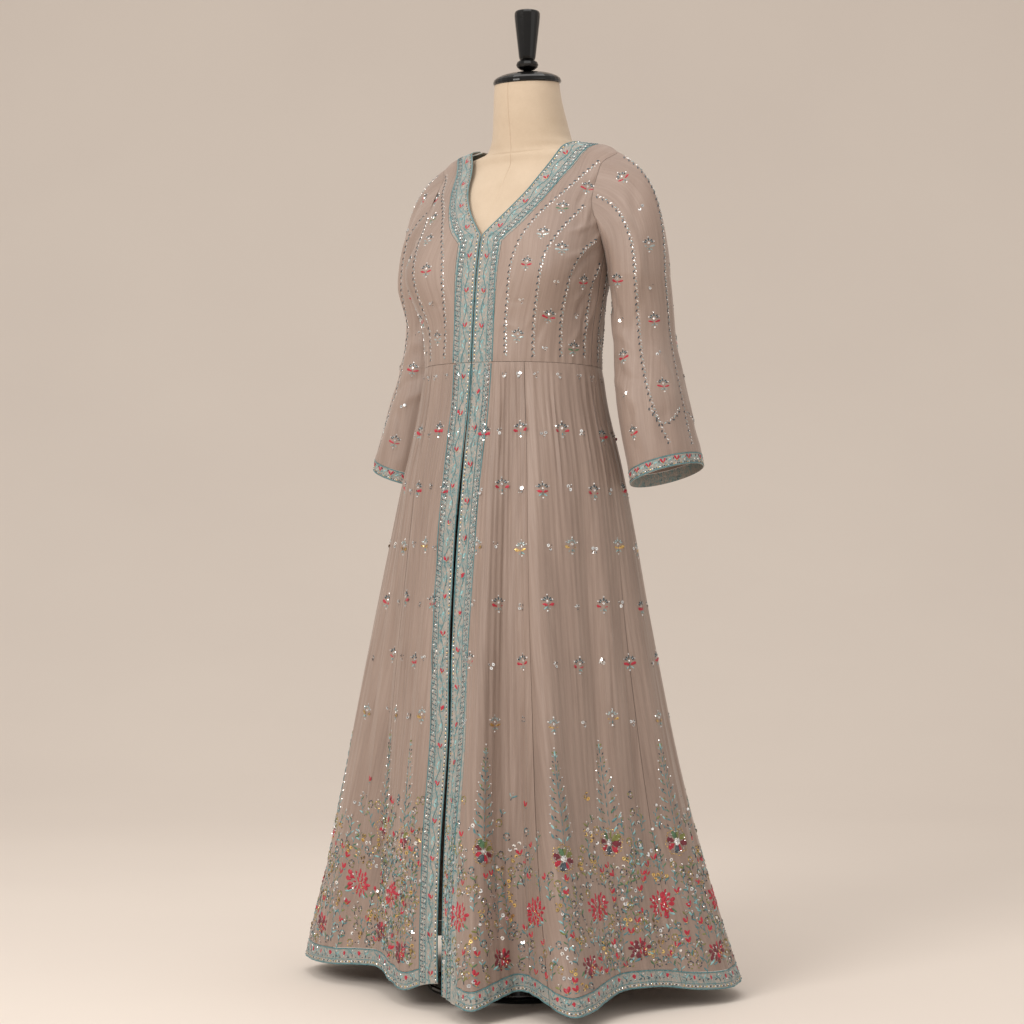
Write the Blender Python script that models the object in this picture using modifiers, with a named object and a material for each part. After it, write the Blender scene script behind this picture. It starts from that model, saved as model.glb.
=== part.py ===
"""Anarkali gown worn by a limbless dress form, modelled at its real size.

Metres, +Z up, the front faces -Y and +X is the wearer's left. The origin is on the floor, at the
centre of the stand's round base. The gown is a long coat-like dress: a fitted bodice with a V
neck, a waist seam, a floor-length skirt of eight kalis (flared panels) that hangs in folds, and
slim long sleeves. An embroidered strip edges the neck, both front openings, the cuffs and the hem.
Each cut piece is its own wall of cloth, 0.3 to 0.4 mm clear of the next one at every seam.
"""
import math

import bmesh
import bpy
import numpy as np

OBJECT = "anarkali_gown_on_dress_form"

# ---- driving sizes -----------------------------------------------------------------------------
WAIST_Z = 1.000            # height of the waist seam at the centre front
WAIST_DIP = 0.012          # the seam is lower at the sides and the back
HEM_Z = 0.027              # mean height of the hem above the floor
UNDERARM_Z = 1.172
SHOULDER_TIP_Z = 1.335
CLOTH = 0.0012             # wall of the cloth, with its embroidery
TRIM = 0.0002              # taken off each edge at a seam
BAND_WIDTH = 0.037         # embroidered strip beside the front opening
HEM_BAND = 0.028           # embroidered strip round the hem
CUFF_BAND = 0.019          # embroidered strip round the cuff
FORM_EASE = 0.008          # room between the dress form and the outer face of the bodice
SHOULDER_EASE = 0.011      # and how far the form's shoulders lie below the cloth
SHOULDER_REACH = 0.036
NECK_TOP_Z = 1.457
NECK_TILT = math.radians(4.0)
FORM_BOTTOM_Z = 0.760
AXIS_Y = 0.020             # the neck and its cap stand a little behind the pole

# The outer face of the worn bodice: level sections, from the waist to the top of the neck.
# Columns: z, half width, centre y, half depth, power.
SECTIONS = (
    (0.980, 0.155, -0.019, 0.110, 2.10),
    (1.000, 0.154, -0.020, 0.110, 2.10),
    (1.050, 0.157, -0.021, 0.106, 2.10),
    (1.100, 0.163, -0.018, 0.104, 2.20),
    (1.165, 0.171, -0.012, 0.101, 2.30),
    (1.200, 0.175, -0.004, 0.101, 2.30),
    (1.235, 0.179, 0.006, 0.095, 2.20),
    (1.285, 0.180, 0.018, 0.078, 1.90),
    (1.312, 0.178, 0.022, 0.067, 1.50),
    (1.325, 0.1755, 0.024, 0.062, 1.42),
    (1.335, 0.1700, 0.026, 0.060, 1.40),
    (1.348, 0.1450, 0.028, 0.062, 1.40),
    (1.3575, 0.0990, 0.034, 0.067, 1.60),
    (1.368, 0.0810, 0.033, 0.067, 1.85),
    (1.382, 0.0725, 0.031, 0.067, 2.00),
    (1.400, 0.0680, 0.0272, 0.0665, 2.00),
    (1.420, 0.0645, 0.0231, 0.0640, 2.00),
    (1.440, 0.0622, 0.0200, 0.0617, 2.00),
    (1.460, 0.0600, 0.0190, 0.0600, 2.00),
)

# The dress form below the waist: its skin is hidden by the skirt.
HIP_SECTIONS = (
    (0.760, 0.118, -0.010, 0.082, 2.00),
    (0.772, 0.142, -0.010, 0.100, 2.00),
    (0.800, 0.160, -0.012, 0.111, 2.00),
    (0.860, 0.166, -0.013, 0.114, 2.00),
    (0.920, 0.160, -0.016, 0.110, 2.05),
)

# The bust: a rounded swell on each side of the front.
BUST = {"height": 0.030, "angle": 45.0, "angle_reach": 23.0, "z": 1.145, "z_reach": 0.060}

# The neck strip on the wearer's left, from the point of the V to the shoulder seam.
# Columns: inner x, inner z, outer x, outer z.
NECK_BAND = (
    (0.0006, 1.2030, 0.0420, 1.1900),
    (0.0340, 1.2400, 0.0700, 1.2180),
    (0.0580, 1.2750, 0.0940, 1.2580),
    (0.0740, 1.3150, 0.1130, 1.3030),
    (0.0860, 1.3420, 0.1250, 1.3320),
    (0.0984, 1.3573, 0.1370, 1.3497),
)

# The armhole seam as angle round the body (0 front, 90 side) and height, underarm to shoulder.
ARMHOLE_FRONT = ((90.0, 1.172), (84.0, 1.186), (77.0, 1.205), (66.0, 1.235), (62.0, 1.262),
                 (63.0, 1.295), (68.0, 1.320), (90.0, 1.335))
ARMHOLE_BACK = ((90.0, 1.172), (97.0, 1.188), (104.0, 1.210), (110.0, 1.240), (112.0, 1.268),
                (110.0, 1.297), (104.0, 1.321), (90.0, 1.335))

# The back neck's strip on the wearer's left, from the shoulder seam to the centre back.
# Columns: edge x, edge z, strip x, strip z.
BACK_NECK = ((0.0984, 1.3573, 0.137, 1.3497), (0.080, 1.349, 0.105, 1.331),
             (0.055, 1.342, 0.074, 1.315), (0.028, 1.338, 0.038, 1.305), (0.0, 1.337, 0.0, 1.302))

# How far the skirt has flared at each fraction of its length.
# Columns: fraction, share.
FLARE = ((0.00, 0.000), (0.06, 0.042), (0.17, 0.165), (0.40, 0.370), (0.70, 0.655),
         (0.87, 0.842), (1.00, 1.000))
HEM_HALF_WIDTH = 0.365
HEM_HALF_DEPTH = 0.285
FOLD_GROWTH = 1.5          # the folds deepen towards the hem
SWAY = (-0.0070, -0.0050)  # how far the skirt hangs off centre, two thirds of the way down

# The folds at the hem, round from the left front edge: compass angle from the front, reach from
# the pole's axis, and how much the hem lifts there.
# Columns: angle, reach, lift.
HEM_FOLDS = (
    (0.0, 0.252, 0.004), (9.0, 0.262, 0.002), (17.0, 0.300, -0.002), (23.5, 0.326, -0.004),
    (29.0, 0.285, 0.006), (35.0, 0.246, 0.012), (41.0, 0.272, 0.008), (48.0, 0.352, -0.008),
    (54.0, 0.338, -0.006), (61.0, 0.305, 0.002), (69.0, 0.284, 0.010), (77.0, 0.290, 0.012),
    (86.0, 0.298, 0.008), (94.0, 0.322, 0.000), (103.0, 0.352, -0.004), (115.0, 0.357, -0.002),
    (128.0, 0.328, 0.004), (141.0, 0.296, 0.008), (153.0, 0.322, -0.002), (166.0, 0.270, 0.008),
    (179.0, 0.306, -0.002), (192.0, 0.268, 0.008), (205.0, 0.318, -0.004), (218.0, 0.288, 0.008),
    (231.0, 0.338, -0.002), (244.0, 0.322, 0.006), (257.0, 0.366, -0.004), (270.0, 0.376, 0.000),
    (283.0, 0.388, -0.002), (292.0, 0.352, 0.000), (301.0, 0.306, 0.004), (310.0, 0.248, 0.010),
    (322.0, 0.230, 0.012), (336.0, 0.236, 0.004), (348.0, 0.244, -0.002), (360.0, 0.246, 0.014),
    (366.0, 0.246, 0.018),
)

# The front edges: where they stand across the body at each fraction of the skirt's length.
# Columns: fraction, left x, right x.
FRONT_EDGES = ((0.00, 0.0006, -0.0006), (0.12, 0.0012, -0.0014), (0.28, 0.0020, -0.0040),
               (0.42, 0.0050, -0.0010), (0.60, 0.0170, 0.0100), (0.78, 0.0210, 0.0100),
               (0.94, 0.0330, 0.0170), (1.00, 0.0390, 0.0220))

# Kali seams round the skirt, between the two front strips.
KALI_SEAMS = (44.0, 90.0, 134.0, 180.0, 226.0, 270.0, 314.0)
KALI_NAMES = ("front_left", "side_front_left", "side_back_left", "back_left",
              "back_right", "side_back_right", "side_front_right", "front_right")
KALI_COLUMNS = 8
SKIRT_ROWS = 12

# The sleeve: level stations of the wearer's left arm, then what changes on the right arm.
# Columns: z, x, y, half width, half depth, tilt, right x, right y.
SLEEVE = (
    (1.135, 0.2094, 0.030, 0.0455, 0.056, 0.00, 0.2090, 0.032),
    (1.090, 0.2069, 0.042, 0.0450, 0.057, 0.02, 0.2068, 0.044),
    (1.040, 0.2088, 0.047, 0.0450, 0.058, 0.05, 0.2110, 0.047),
    (0.990, 0.2177, 0.042, 0.0480, 0.061, 0.10, 0.2165, 0.044),
    (0.940, 0.2300, 0.036, 0.0510, 0.064, 0.17, 0.2280, 0.040),
    (0.890, 0.2420, 0.035, 0.0520, 0.066, 0.25, 0.2400, 0.036),
    (0.845, 0.2540, 0.035, 0.0530, 0.067, 0.33, 0.2520, 0.034),
    (0.782, 0.2640, 0.035, 0.0530, 0.067, 0.36, 0.2620, 0.034),
)
CUFF_Z = 0.822             # middle of the cuff's lower edge
CAP_ROWS = 6
ARM_ROWS = 9
UPPER_ROWS = 7             # rows of a bodice piece above the underarm
SHOULDER_LEAN = 6          # the back's columns turn to the shoulder seam only near the top
LOWER_ROWS = 6

COLOURS = {
    "cloth": ((0.52, 0.40, 0.34, 1.0), 0.55, 0.0),
    "strip": ((0.25, 0.42, 0.43, 1.0), 0.55, 0.0),
    "cover": ((0.78, 0.68, 0.54, 1.0), 0.85, 0.0),
    "lacquer": ((0.012, 0.011, 0.011, 1.0), 0.18, 0.0),
    "steel": ((0.55, 0.55, 0.56, 1.0), 0.30, 1.0),
}


# ---- reading tables ----------------------------------------------------------------------------
def read_smooth(table, column, at):
    """A column of a table as a smooth curve over its first column."""
    rows = np.array(table, dtype=float)
    knots = rows[:, 0]
    values = rows[:, column]
    slopes = np.gradient(values, knots)
    place = np.clip(at, knots[0], knots[-1])
    low = int(np.clip(np.searchsorted(knots, place) - 1, 0, len(knots) - 2))
    span = knots[low + 1] - knots[low]
    t = (place - knots[low]) / span
    rise = (2 * t**3 - 3 * t**2 + 1) * values[low] + (3 * t**2 - 2 * t**3) * values[low + 1]
    bend = (t**3 - 2 * t**2 + t) * slopes[low] + (t**3 - t**2) * slopes[low + 1]
    return float(rise + span * bend)


def numbered(rows):
    """The rows with their number put first, so that read_smooth can run along them."""
    return tuple((float(i),) + tuple(row) for i, row in enumerate(rows))


def power_point(angle, half_width, half_depth, power):
    """A point of a rounded section: angle 0 is the front and 90 degrees the wearer's left."""
    across = math.copysign(abs(math.sin(angle)) ** (2 / power), math.sin(angle))
    along = math.copysign(abs(math.cos(angle)) ** (2 / power), math.cos(angle))
    return half_width * across, -half_depth * along


def waist_height(y):
    """Height of the waist seam where it is this far back."""
    front = SECTIONS[1][2] - SECTIONS[1][3]
    return WAIST_Z - WAIST_DIP * (y - front) / (2 * SECTIONS[1][3])


def waist_z(angle):
    """Height of the waist seam at an angle round the bodice."""
    z, half_width, centre_y, half_depth, power = SECTIONS[1]
    return waist_height(centre_y + power_point(angle, half_width, half_depth, power)[1])


# ---- the bodice's surface ----------------------------------------------------------------------
def bust_swell(angle, z):
    around = math.degrees(math.atan2(math.sin(angle), math.cos(angle)))
    turn = (abs(around) - BUST["angle"]) / BUST["angle_reach"]
    level = (z - BUST["z"]) / BUST["z_reach"]
    return BUST["height"] * math.exp(-turn**2 - level**2)


def body_point(angle, z, inset=0.0):
    """The worn bodice's outer face, or the dress form's skin, which is inset from it."""
    half_width = read_smooth(SECTIONS, 1, z) - inset
    centre_y = read_smooth(SECTIONS, 2, z)
    half_depth = read_smooth(SECTIONS, 3, z) - inset
    x, y = power_point(angle, half_width, half_depth, read_smooth(SECTIONS, 4, z))
    swell = bust_swell(angle, z) * (0.9 if inset else 1.0)
    return np.array((x + swell * math.sin(angle), centre_y + y - swell * math.cos(angle), z))


def wall_point(surface, first, second, turn=1.0):
    """Outer point and inner point of the cloth's wall, as six numbers, at a place of a surface."""
    step = 0.0005
    across = surface(first + step, second) - surface(first - step, second)
    along = surface(first, second + step) - surface(first, second - step)
    normal = np.cross(across, along) * turn
    normal /= np.linalg.norm(normal)
    outer = surface(first, second)
    return np.concatenate((outer, outer - CLOTH * normal))


def angle_at(x, z):
    """The angle at which the body's section at this height is this far across."""
    share = min(1.0, x / read_smooth(SECTIONS, 1, z))
    return math.asin(share ** (read_smooth(SECTIONS, 4, z) / 2))


def body_rows(count_low, count_up):
    """Fractions of a front piece's rows: 0 to 1 up to the V or the underarm, then 1 to 2."""
    low = [i / count_low for i in range(count_low)]
    return low + [1 + i / count_up for i in range(count_up + 1)]


def strip_edge(step, inner):
    """Angle and height on an edge of the front and neck strip: 0 waist, 1 the V, 2 shoulder."""
    if step <= 1:
        x = NECK_BAND[0][0] if inner else BAND_WIDTH + (NECK_BAND[0][2] - BAND_WIDTH) * step
        top = NECK_BAND[0][1] if inner else NECK_BAND[0][3]
        base = waist_z(angle_at(x, WAIST_Z))
        z = base + (top - base) * step
        return angle_at(x, z), z
    place = (step - 1) * (len(NECK_BAND) - 1)
    rows = numbered(NECK_BAND)
    x = read_smooth(rows, 1 if inner else 3, place)
    z = read_smooth(rows, 2 if inner else 4, place)
    if step >= 2:
        return math.pi / 2, z
    return angle_at(x, z), z


def side_edge(step, armhole):
    """Angle and height on the side seam, 0 to 1, and up the armhole, 1 to 2."""
    if step <= 1:
        base = waist_z(math.pi / 2)
        return math.pi / 2, base + (UNDERARM_Z - base) * step
    rows = numbered(armhole)
    place = (step - 1) * (len(armhole) - 1)
    return math.radians(read_smooth(rows, 1, place)), read_smooth(rows, 2, place)


# ---- the skirt's surface -----------------------------------------------------------------------
def oval_radius(angle, half_width, half_depth, power):
    """Reach of a rounded section from its centre at a compass angle from the front."""
    share = (abs(math.sin(angle)) / half_width) ** power
    return (share + (abs(math.cos(angle)) / half_depth) ** power) ** (-1 / power)


def skirt_point(angle, fraction):
    """The skirt's outer face at a compass angle, from the waist seam, 0, to the hem, 1."""
    degrees = math.degrees(angle)
    waist_width, waist_y, waist_depth, power = SECTIONS[1][1:]
    top_radius = oval_radius(angle, waist_width, waist_depth, power)
    top_z = waist_height(waist_y - top_radius * math.cos(angle))
    z = top_z + (HEM_Z + read_smooth(HEM_FOLDS, 2, degrees) * fraction**2 - top_z) * fraction
    share = read_smooth(FLARE, 1, fraction)
    width = waist_width + (HEM_HALF_WIDTH - waist_width) * share
    depth = waist_depth + (HEM_HALF_DEPTH - waist_depth) * share
    radius = oval_radius(angle, width, depth, power + (2.0 - power) * min(1.0, 4 * fraction))
    plain_hem = 1 / math.hypot(math.sin(angle) / HEM_HALF_WIDTH, math.cos(angle) / HEM_HALF_DEPTH)
    fold = read_smooth(HEM_FOLDS, 1, degrees) - plain_hem
    reach = radius + fold * max(0.0, fraction) ** FOLD_GROWTH
    sway = 6.75 * fraction**2 * (1 - fraction)
    x = SWAY[0] * sway + reach * math.sin(angle)
    y = SWAY[1] * sway + waist_y * (1 - share) - reach * math.cos(angle)
    return np.array((x, y, z))


def front_edge_angle(fraction, side):
    """Compass angle of a front edge: near 0 on the wearer's left, near 360 on the right."""
    x = read_smooth(FRONT_EDGES, 1 if side > 0 else 2, fraction)
    turn = 0.0 if side > 0 else 2 * math.pi
    middle = skirt_point(turn, fraction)
    return turn + math.asin((x - middle[0]) / abs(middle[1]))


def strip_seam_angle(fraction, side):
    """Compass angle of the seam between a front strip and the kali beside it."""
    edge = front_edge_angle(fraction, side)
    return edge + side * BAND_WIDTH / abs(skirt_point(edge, fraction)[1])


def kali_bounds(index, fraction):
    """The two seams of a kali at one fraction of the skirt's length."""
    first = strip_seam_angle(fraction, 1) if index == 0 else math.radians(KALI_SEAMS[index - 1])
    if index == len(KALI_NAMES) - 1:
        return first, strip_seam_angle(fraction, -1)
    return first, math.radians(KALI_SEAMS[index])


# ---- the sleeve's surface ----------------------------------------------------------------------
def sleeve_ring(z, turn, side):
    """A point of the arm's section at a station height; turn 0 is outward and 90 the front."""
    table = tuple(reversed(SLEEVE))
    x, y = (read_smooth(table, i, z) for i in ((1, 2) if side > 0 else (6, 7)))
    half_width, half_depth, tilt = (read_smooth(table, i, z) for i in (3, 4, 5))
    out = half_width * math.cos(turn)
    return np.array((x + out, y - half_depth * math.sin(turn), z + tilt * out))


def sleeve_grid(armhole_points, side):
    """Rows of the sleeve from the armhole to the cuff's strip; each row is a closed ring."""
    count = len(armhole_points)
    steps = [np.linalg.norm(armhole_points[i] - armhole_points[i - 1]) for i in range(count)]
    run = np.cumsum([0.0] + steps[1:])
    turns = 2 * math.pi * run / (run[-1] + steps[0])
    first_z = SLEEVE[0][0]
    cap = []
    for start, turn in zip(armhole_points, turns):
        top = 0.5 * (1 + math.cos(turn))
        leave = np.array((0.40 + 0.60 * top, 0.0, -0.90 + 0.42 * top))
        leave /= np.linalg.norm(leave)
        end = sleeve_ring(first_z, turn, side)
        arrive = np.array((-0.03, 0.06, -1.0))
        length = np.linalg.norm(end - start) * (0.6 + 0.65 * top)
        begin = start + np.array((1.0, 0.0, -0.35)) * (2 * TRIM)
        line = []
        for i in range(CAP_ROWS):
            t = i / CAP_ROWS
            line.append((2 * t**3 - 3 * t**2 + 1) * begin + (3 * t**2 - 2 * t**3) * end
                        + length * ((t**3 - 2 * t**2 + t) * leave + (t**3 - t**2) * arrive))
        cap.append(line)
    rows = [[cap[j][i] for j in range(count)] for i in range(CAP_ROWS)]
    for i in range(ARM_ROWS + 1):
        z = first_z + (CUFF_Z + CUFF_BAND - first_z) * i / ARM_ROWS
        rows.append([sleeve_ring(z, turn, side) for turn in turns])
    return rows, turns


# ---- building pieces ---------------------------------------------------------------------------
def trimmed(rows):
    """The grid with each open edge pulled back along the cloth, which leaves the seam's gap."""
    grid = np.array(rows)
    for face in (grid[:, :, :3], grid[:, :, 3:]):
        for axis in (0, 1):
            lines = np.swapaxes(face, 0, axis)
            for edge, inside in ((0, 1), (-1, -2)):
                pull = lines[inside] - lines[edge]
                pull = pull / np.linalg.norm(pull, axis=1, keepdims=True)
                lines[edge] = lines[edge] + pull * TRIM
    return grid


def mirrored(rows, side):
    grid = np.array(rows)
    grid[:, :, 0] *= side
    grid[:, :, 3] *= side
    return grid


def ring_walls(rows):
    """Outer and inner points of a tube of closed rings, whose turns run out, front, in, back."""
    grid = np.array(rows)
    round_it = np.roll(grid, -1, axis=1) - np.roll(grid, 1, axis=1)
    along_it = np.gradient(grid, axis=0)
    normals = np.cross(round_it, along_it)
    normals /= np.linalg.norm(normals, axis=2, keepdims=True)
    return np.concatenate((grid, grid - CLOTH * normals), axis=2)


def material(kind):
    found = bpy.data.materials.get(kind)
    if found:
        return found
    colour, roughness, metallic = COLOURS[kind]
    made = bpy.data.materials.new(kind)
    made.use_nodes = True
    made.diffuse_color = colour
    shader = made.node_tree.nodes["Principled BSDF"]
    shader.inputs["Base Color"].default_value = colour
    shader.inputs["Roughness"].default_value = roughness
    shader.inputs["Metallic"].default_value = metallic
    return made


def add_mesh_object(name, mesh, kind, parts):
    obj = bpy.data.objects.new(name, mesh)
    obj.data.materials.append(material(kind))
    for polygon in mesh.polygons:
        polygon.use_smooth = True
    parts.objects.link(obj)
    return obj


def cloth_piece(name, grid, kind, parts, ring=False):
    """A closed wall of cloth between the outer and the inner points of a grid."""
    rows, columns = len(grid), len(grid[0])
    last = columns if ring else columns - 1
    shape = bmesh.new()
    faces = []
    for half in (slice(0, 3), slice(3, 6)):
        faces.append([[shape.verts.new(tuple(p[half])) for p in row] for row in grid])
    outer, inner = faces
    for i in range(rows - 1):
        for j in range(last):
            k = (j + 1) % columns
            shape.faces.new((outer[i][j], outer[i][k], outer[i + 1][k], outer[i + 1][j]))
            shape.faces.new((inner[i][j], inner[i + 1][j], inner[i + 1][k], inner[i][k]))
    for i in (0, rows - 1):
        for j in range(last):
            k = (j + 1) % columns
            shape.faces.new((outer[i][j], inner[i][j], inner[i][k], outer[i][k]))
    if not ring:
        for j in (0, last):
            for i in range(rows - 1):
                shape.faces.new((outer[i][j], inner[i][j], inner[i + 1][j], outer[i + 1][j]))
    bmesh.ops.recalc_face_normals(shape, faces=shape.faces[:])
    mesh = bpy.data.meshes.new(name)
    shape.to_mesh(mesh)
    shape.free()
    return add_mesh_object(name, mesh, kind, parts)


def side_name(side):
    return "left" if side > 0 else "right"


def front_rows(edge_low, edge_high, columns):
    """A grid between two edge functions of the bodice, row by row up from the waist."""
    grid = []
    for step in body_rows(LOWER_ROWS, UPPER_ROWS):
        low_angle, low_z = edge_low(step)
        high_angle, high_z = edge_high(step)
        row = []
        for j in range(columns + 1):
            s = j / columns
            angle = low_angle + (high_angle - low_angle) * s
            z = low_z + (high_z - low_z) * s
            if step < 1:
                z += (waist_z(angle) - waist_z(low_angle) * (1 - s) - waist_z(high_angle) * s) * (1 - step)
            row.append(wall_point(body_point, angle, z))
        grid.append(row)
    return grid


def build_bodice_fronts(parts):
    for side in (1, -1):
        strip = front_rows(lambda t: strip_edge(t, True), lambda t: strip_edge(t, False), 2)
        cloth_piece(f"front_strip_{side_name(side)}", trimmed(mirrored(strip, side)), "strip", parts)
        front = front_rows(lambda t: strip_edge(t, False), lambda t: side_edge(t, ARMHOLE_FRONT), 9)
        cloth_piece(f"bodice_front_{side_name(side)}", trimmed(mirrored(front, side)), "cloth", parts)


def back_columns():
    """Places across the back: 0 to 1 the shoulder seam, 1 to 3 the neck, 3 to 4 the other one."""
    shoulder = [0.0, 0.5, 1.0]
    neck = [1 + 2 * i / 12 for i in range(1, 13)]
    return shoulder + neck + [3.5, 4.0]


def back_top(place, edge):
    """Angle and height of the back's upper seam, or of the neck edge above its strip."""
    if place > 2:
        angle, z = back_top(4 - place, edge)
        return 2 * math.pi - angle, z
    if place < 1:
        corner = BACK_NECK[0][3]
        return math.pi / 2, SHOULDER_TIP_Z + (corner - SHOULDER_TIP_Z) * place
    rows = numbered(BACK_NECK)
    step = (place - 1) * (len(BACK_NECK) - 1)
    z = read_smooth(rows, 2 if edge else 4, step)
    if place == 1:
        return math.pi / 2, z
    return math.pi - angle_at(read_smooth(rows, 1 if edge else 3, step), z), z


def build_bodice_back(parts):
    """The back is cut in one piece, between the armholes and up to the shoulder seams."""
    places = back_columns()
    grid = []
    for step in body_rows(LOWER_ROWS, UPPER_ROWS):
        side_angle, side_z = side_edge(step, ARMHOLE_BACK)
        rise = step / 2
        lean = rise**SHOULDER_LEAN
        row = []
        for place in places:
            s = place / 4
            top_angle, top_z = back_top(place, False)
            low_angle = math.pi / 2 + math.pi * s
            edge_angle = side_angle + (2 * math.pi - 2 * side_angle) * s
            angle = (1 - lean) * low_angle + lean * top_angle + edge_angle - low_angle
            low_z = waist_z(low_angle)
            z = (1 - rise) * low_z + rise * top_z + side_z
            z -= (1 - rise) * waist_z(math.pi / 2) + rise * SHOULDER_TIP_Z
            row.append(wall_point(body_point, angle, z))
        grid.append(row)
    cloth_piece("bodice_back", trimmed(grid), "cloth", parts)
    strip = []
    for share in (0.0, 0.5, 1.0):
        row = []
        for place in [p for p in places if 1 <= p <= 3]:
            low_angle, low_z = back_top(place, False)
            high_angle, high_z = back_top(place, True)
            angle = low_angle + (high_angle - low_angle) * share
            row.append(wall_point(body_point, angle, low_z + (high_z - low_z) * share))
        strip.append(row)
    cloth_piece("back_neck_strip", trimmed(strip), "strip", parts)


def armhole_loop():
    """Points round the left armhole: shoulder, front, underarm, back."""
    steps = [1 + i / UPPER_ROWS for i in range(UPPER_ROWS + 1)]
    front = [body_point(*side_edge(t, ARMHOLE_FRONT)) for t in reversed(steps)]
    back = [body_point(*side_edge(t, ARMHOLE_BACK)) for t in steps[1:-1]]
    return front + back


def build_sleeves(parts):
    for side in (1, -1):
        rows, turns = sleeve_grid(armhole_loop(), side)
        sleeve = mirrored(ring_walls(rows), side)
        cloth_piece(f"sleeve_{side_name(side)}", sleeve, "cloth", parts, ring=True)
        top_z = CUFF_Z + CUFF_BAND
        cuff = []
        for drop in (2 * TRIM, CUFF_BAND):
            cuff.append([sleeve_ring(top_z - drop, turn, side) for turn in turns])
        cuff = mirrored(ring_walls(cuff), side)
        cloth_piece(f"cuff_strip_{side_name(side)}", cuff, "strip", parts, ring=True)


def skirt_grid(bounds, fractions, columns):
    grid = []
    for fraction in fractions:
        first, last = bounds(fraction)
        row = []
        for j in range(columns + 1):
            angle = first + (last - first) * j / columns
            row.append(wall_point(skirt_point, angle, fraction, -1.0))
        grid.append(row)
    return grid


def build_skirt(parts):
    """Eight kalis with two front strips, and the hem's strip in a length for each kali."""
    hem_start = 1 - HEM_BAND / (WAIST_Z - HEM_Z)
    body = [hem_start * i / SKIRT_ROWS for i in range(SKIRT_ROWS + 1)]
    full = body + [1.0]
    for side in (1, -1):
        def strip_bounds(fraction, side=side):
            return front_edge_angle(fraction, side), strip_seam_angle(fraction, side)
        strip = trimmed(skirt_grid(strip_bounds, full, 2))
        cloth_piece(f"skirt_strip_{side_name(side)}", strip, "strip", parts)
    for index, name in enumerate(KALI_NAMES):
        def bounds(fraction, index=index):
            return kali_bounds(index, fraction)
        panel = trimmed(skirt_grid(bounds, body, KALI_COLUMNS))
        cloth_piece(f"kali_{name}", panel, "cloth", parts)
        hem = trimmed(skirt_grid(bounds, (hem_start, 1.0), KALI_COLUMNS))
        cloth_piece(f"hem_strip_{name}", hem, "strip", parts)


# ---- the dress form and its stand --------------------------------------------------------------
def build_form_body(parts):
    """The padded torso with its neck, one smooth closed skin."""
    levels = [0.95, 0.975] + [1.0 + 0.03 * i for i in range(10)]
    levels += [1.290, 1.312, 1.326, 1.337, 1.345, 1.352, 1.360, 1.370, 1.384, 1.405, 1.430]
    around = 32
    shape = bmesh.new()
    rings = []
    for z, half_width, centre_y, half_depth, power in HIP_SECTIONS:
        ring = []
        for j in range(around):
            x, y = power_point(2 * math.pi * j / around, half_width, half_depth, power)
            ring.append(shape.verts.new((x, y + centre_y, z)))
        rings.append(ring)
    for z in levels + [NECK_TOP_Z]:
        shoulder_drop = SHOULDER_EASE * math.exp(-((z - SHOULDER_TIP_Z) / SHOULDER_REACH) ** 2)
        lean = max(0.0, (z - 1.384) / (NECK_TOP_Z - 1.384)) * math.tan(NECK_TILT)
        ring = []
        for j in range(around):
            point = body_point(2 * math.pi * j / around, z + shoulder_drop, FORM_EASE)
            point[2] = z
            point[2] += lean * (point[1] - AXIS_Y)
            ring.append(shape.verts.new(tuple(point)))
        rings.append(ring)
    for lower, upper in zip(rings, rings[1:]):
        for j in range(around):
            k = (j + 1) % around
            shape.faces.new((lower[j], lower[k], upper[k], upper[j]))
    shape.faces.new(tuple(reversed(rings[0])))
    shape.faces.new(tuple(rings[-1]))
    bmesh.ops.recalc_face_normals(shape, faces=shape.faces[:])
    mesh = bpy.data.meshes.new("form_body")
    shape.to_mesh(mesh)
    shape.free()
    add_mesh_object("form_body", mesh, "cover", parts)


def turned(name, profile, kind, parts, place, steps, tilt=0.0):
    """A solid turned about its own upright axis from (radius, height) points, top to bottom."""
    shape = bmesh.new()
    line = [shape.verts.new((radius, 0.0, height)) for radius, height in profile]
    for first, second in zip(line, line[1:]):
        shape.edges.new((first, second))
    mesh = bpy.data.meshes.new(name)
    shape.to_mesh(mesh)
    shape.free()
    obj = add_mesh_object(name, mesh, kind, parts)
    screw = obj.modifiers.new("turn", "SCREW")
    screw.steps = steps
    screw.render_steps = steps
    screw.use_merge_vertices = True
    screw.merge_threshold = 0.00005
    screw.use_smooth_shade = True
    obj.location = place
    obj.rotation_euler.x = tilt
    return obj


def arc(radius, centre, start, end, count):
    """Points of a round stretch of a profile; angles in degrees from the outward direction."""
    points = []
    for i in range(count + 1):
        turn = math.radians(start + (end - start) * i / count)
        points.append((centre[0] + radius * math.cos(turn), centre[1] + radius * math.sin(turn)))
    return points


def build_neck_cap(parts):
    """A shallow lacquered dome on the neck."""
    rim_radius = 0.0552
    dome = [(rim_radius * math.sin(math.radians(a)), 0.004 + 0.0165 * math.cos(math.radians(a)))
            for a in (0, 18, 36, 52, 66, 78, 90)]
    profile = dome + [(rim_radius, 0.0015), (rim_radius - 0.0015, 0.0), (0.0, 0.0)]
    turned("neck_cap", profile, "lacquer", parts, (0.0, AXIS_Y, NECK_TOP_Z + 0.0004), 32, NECK_TILT)


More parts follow.
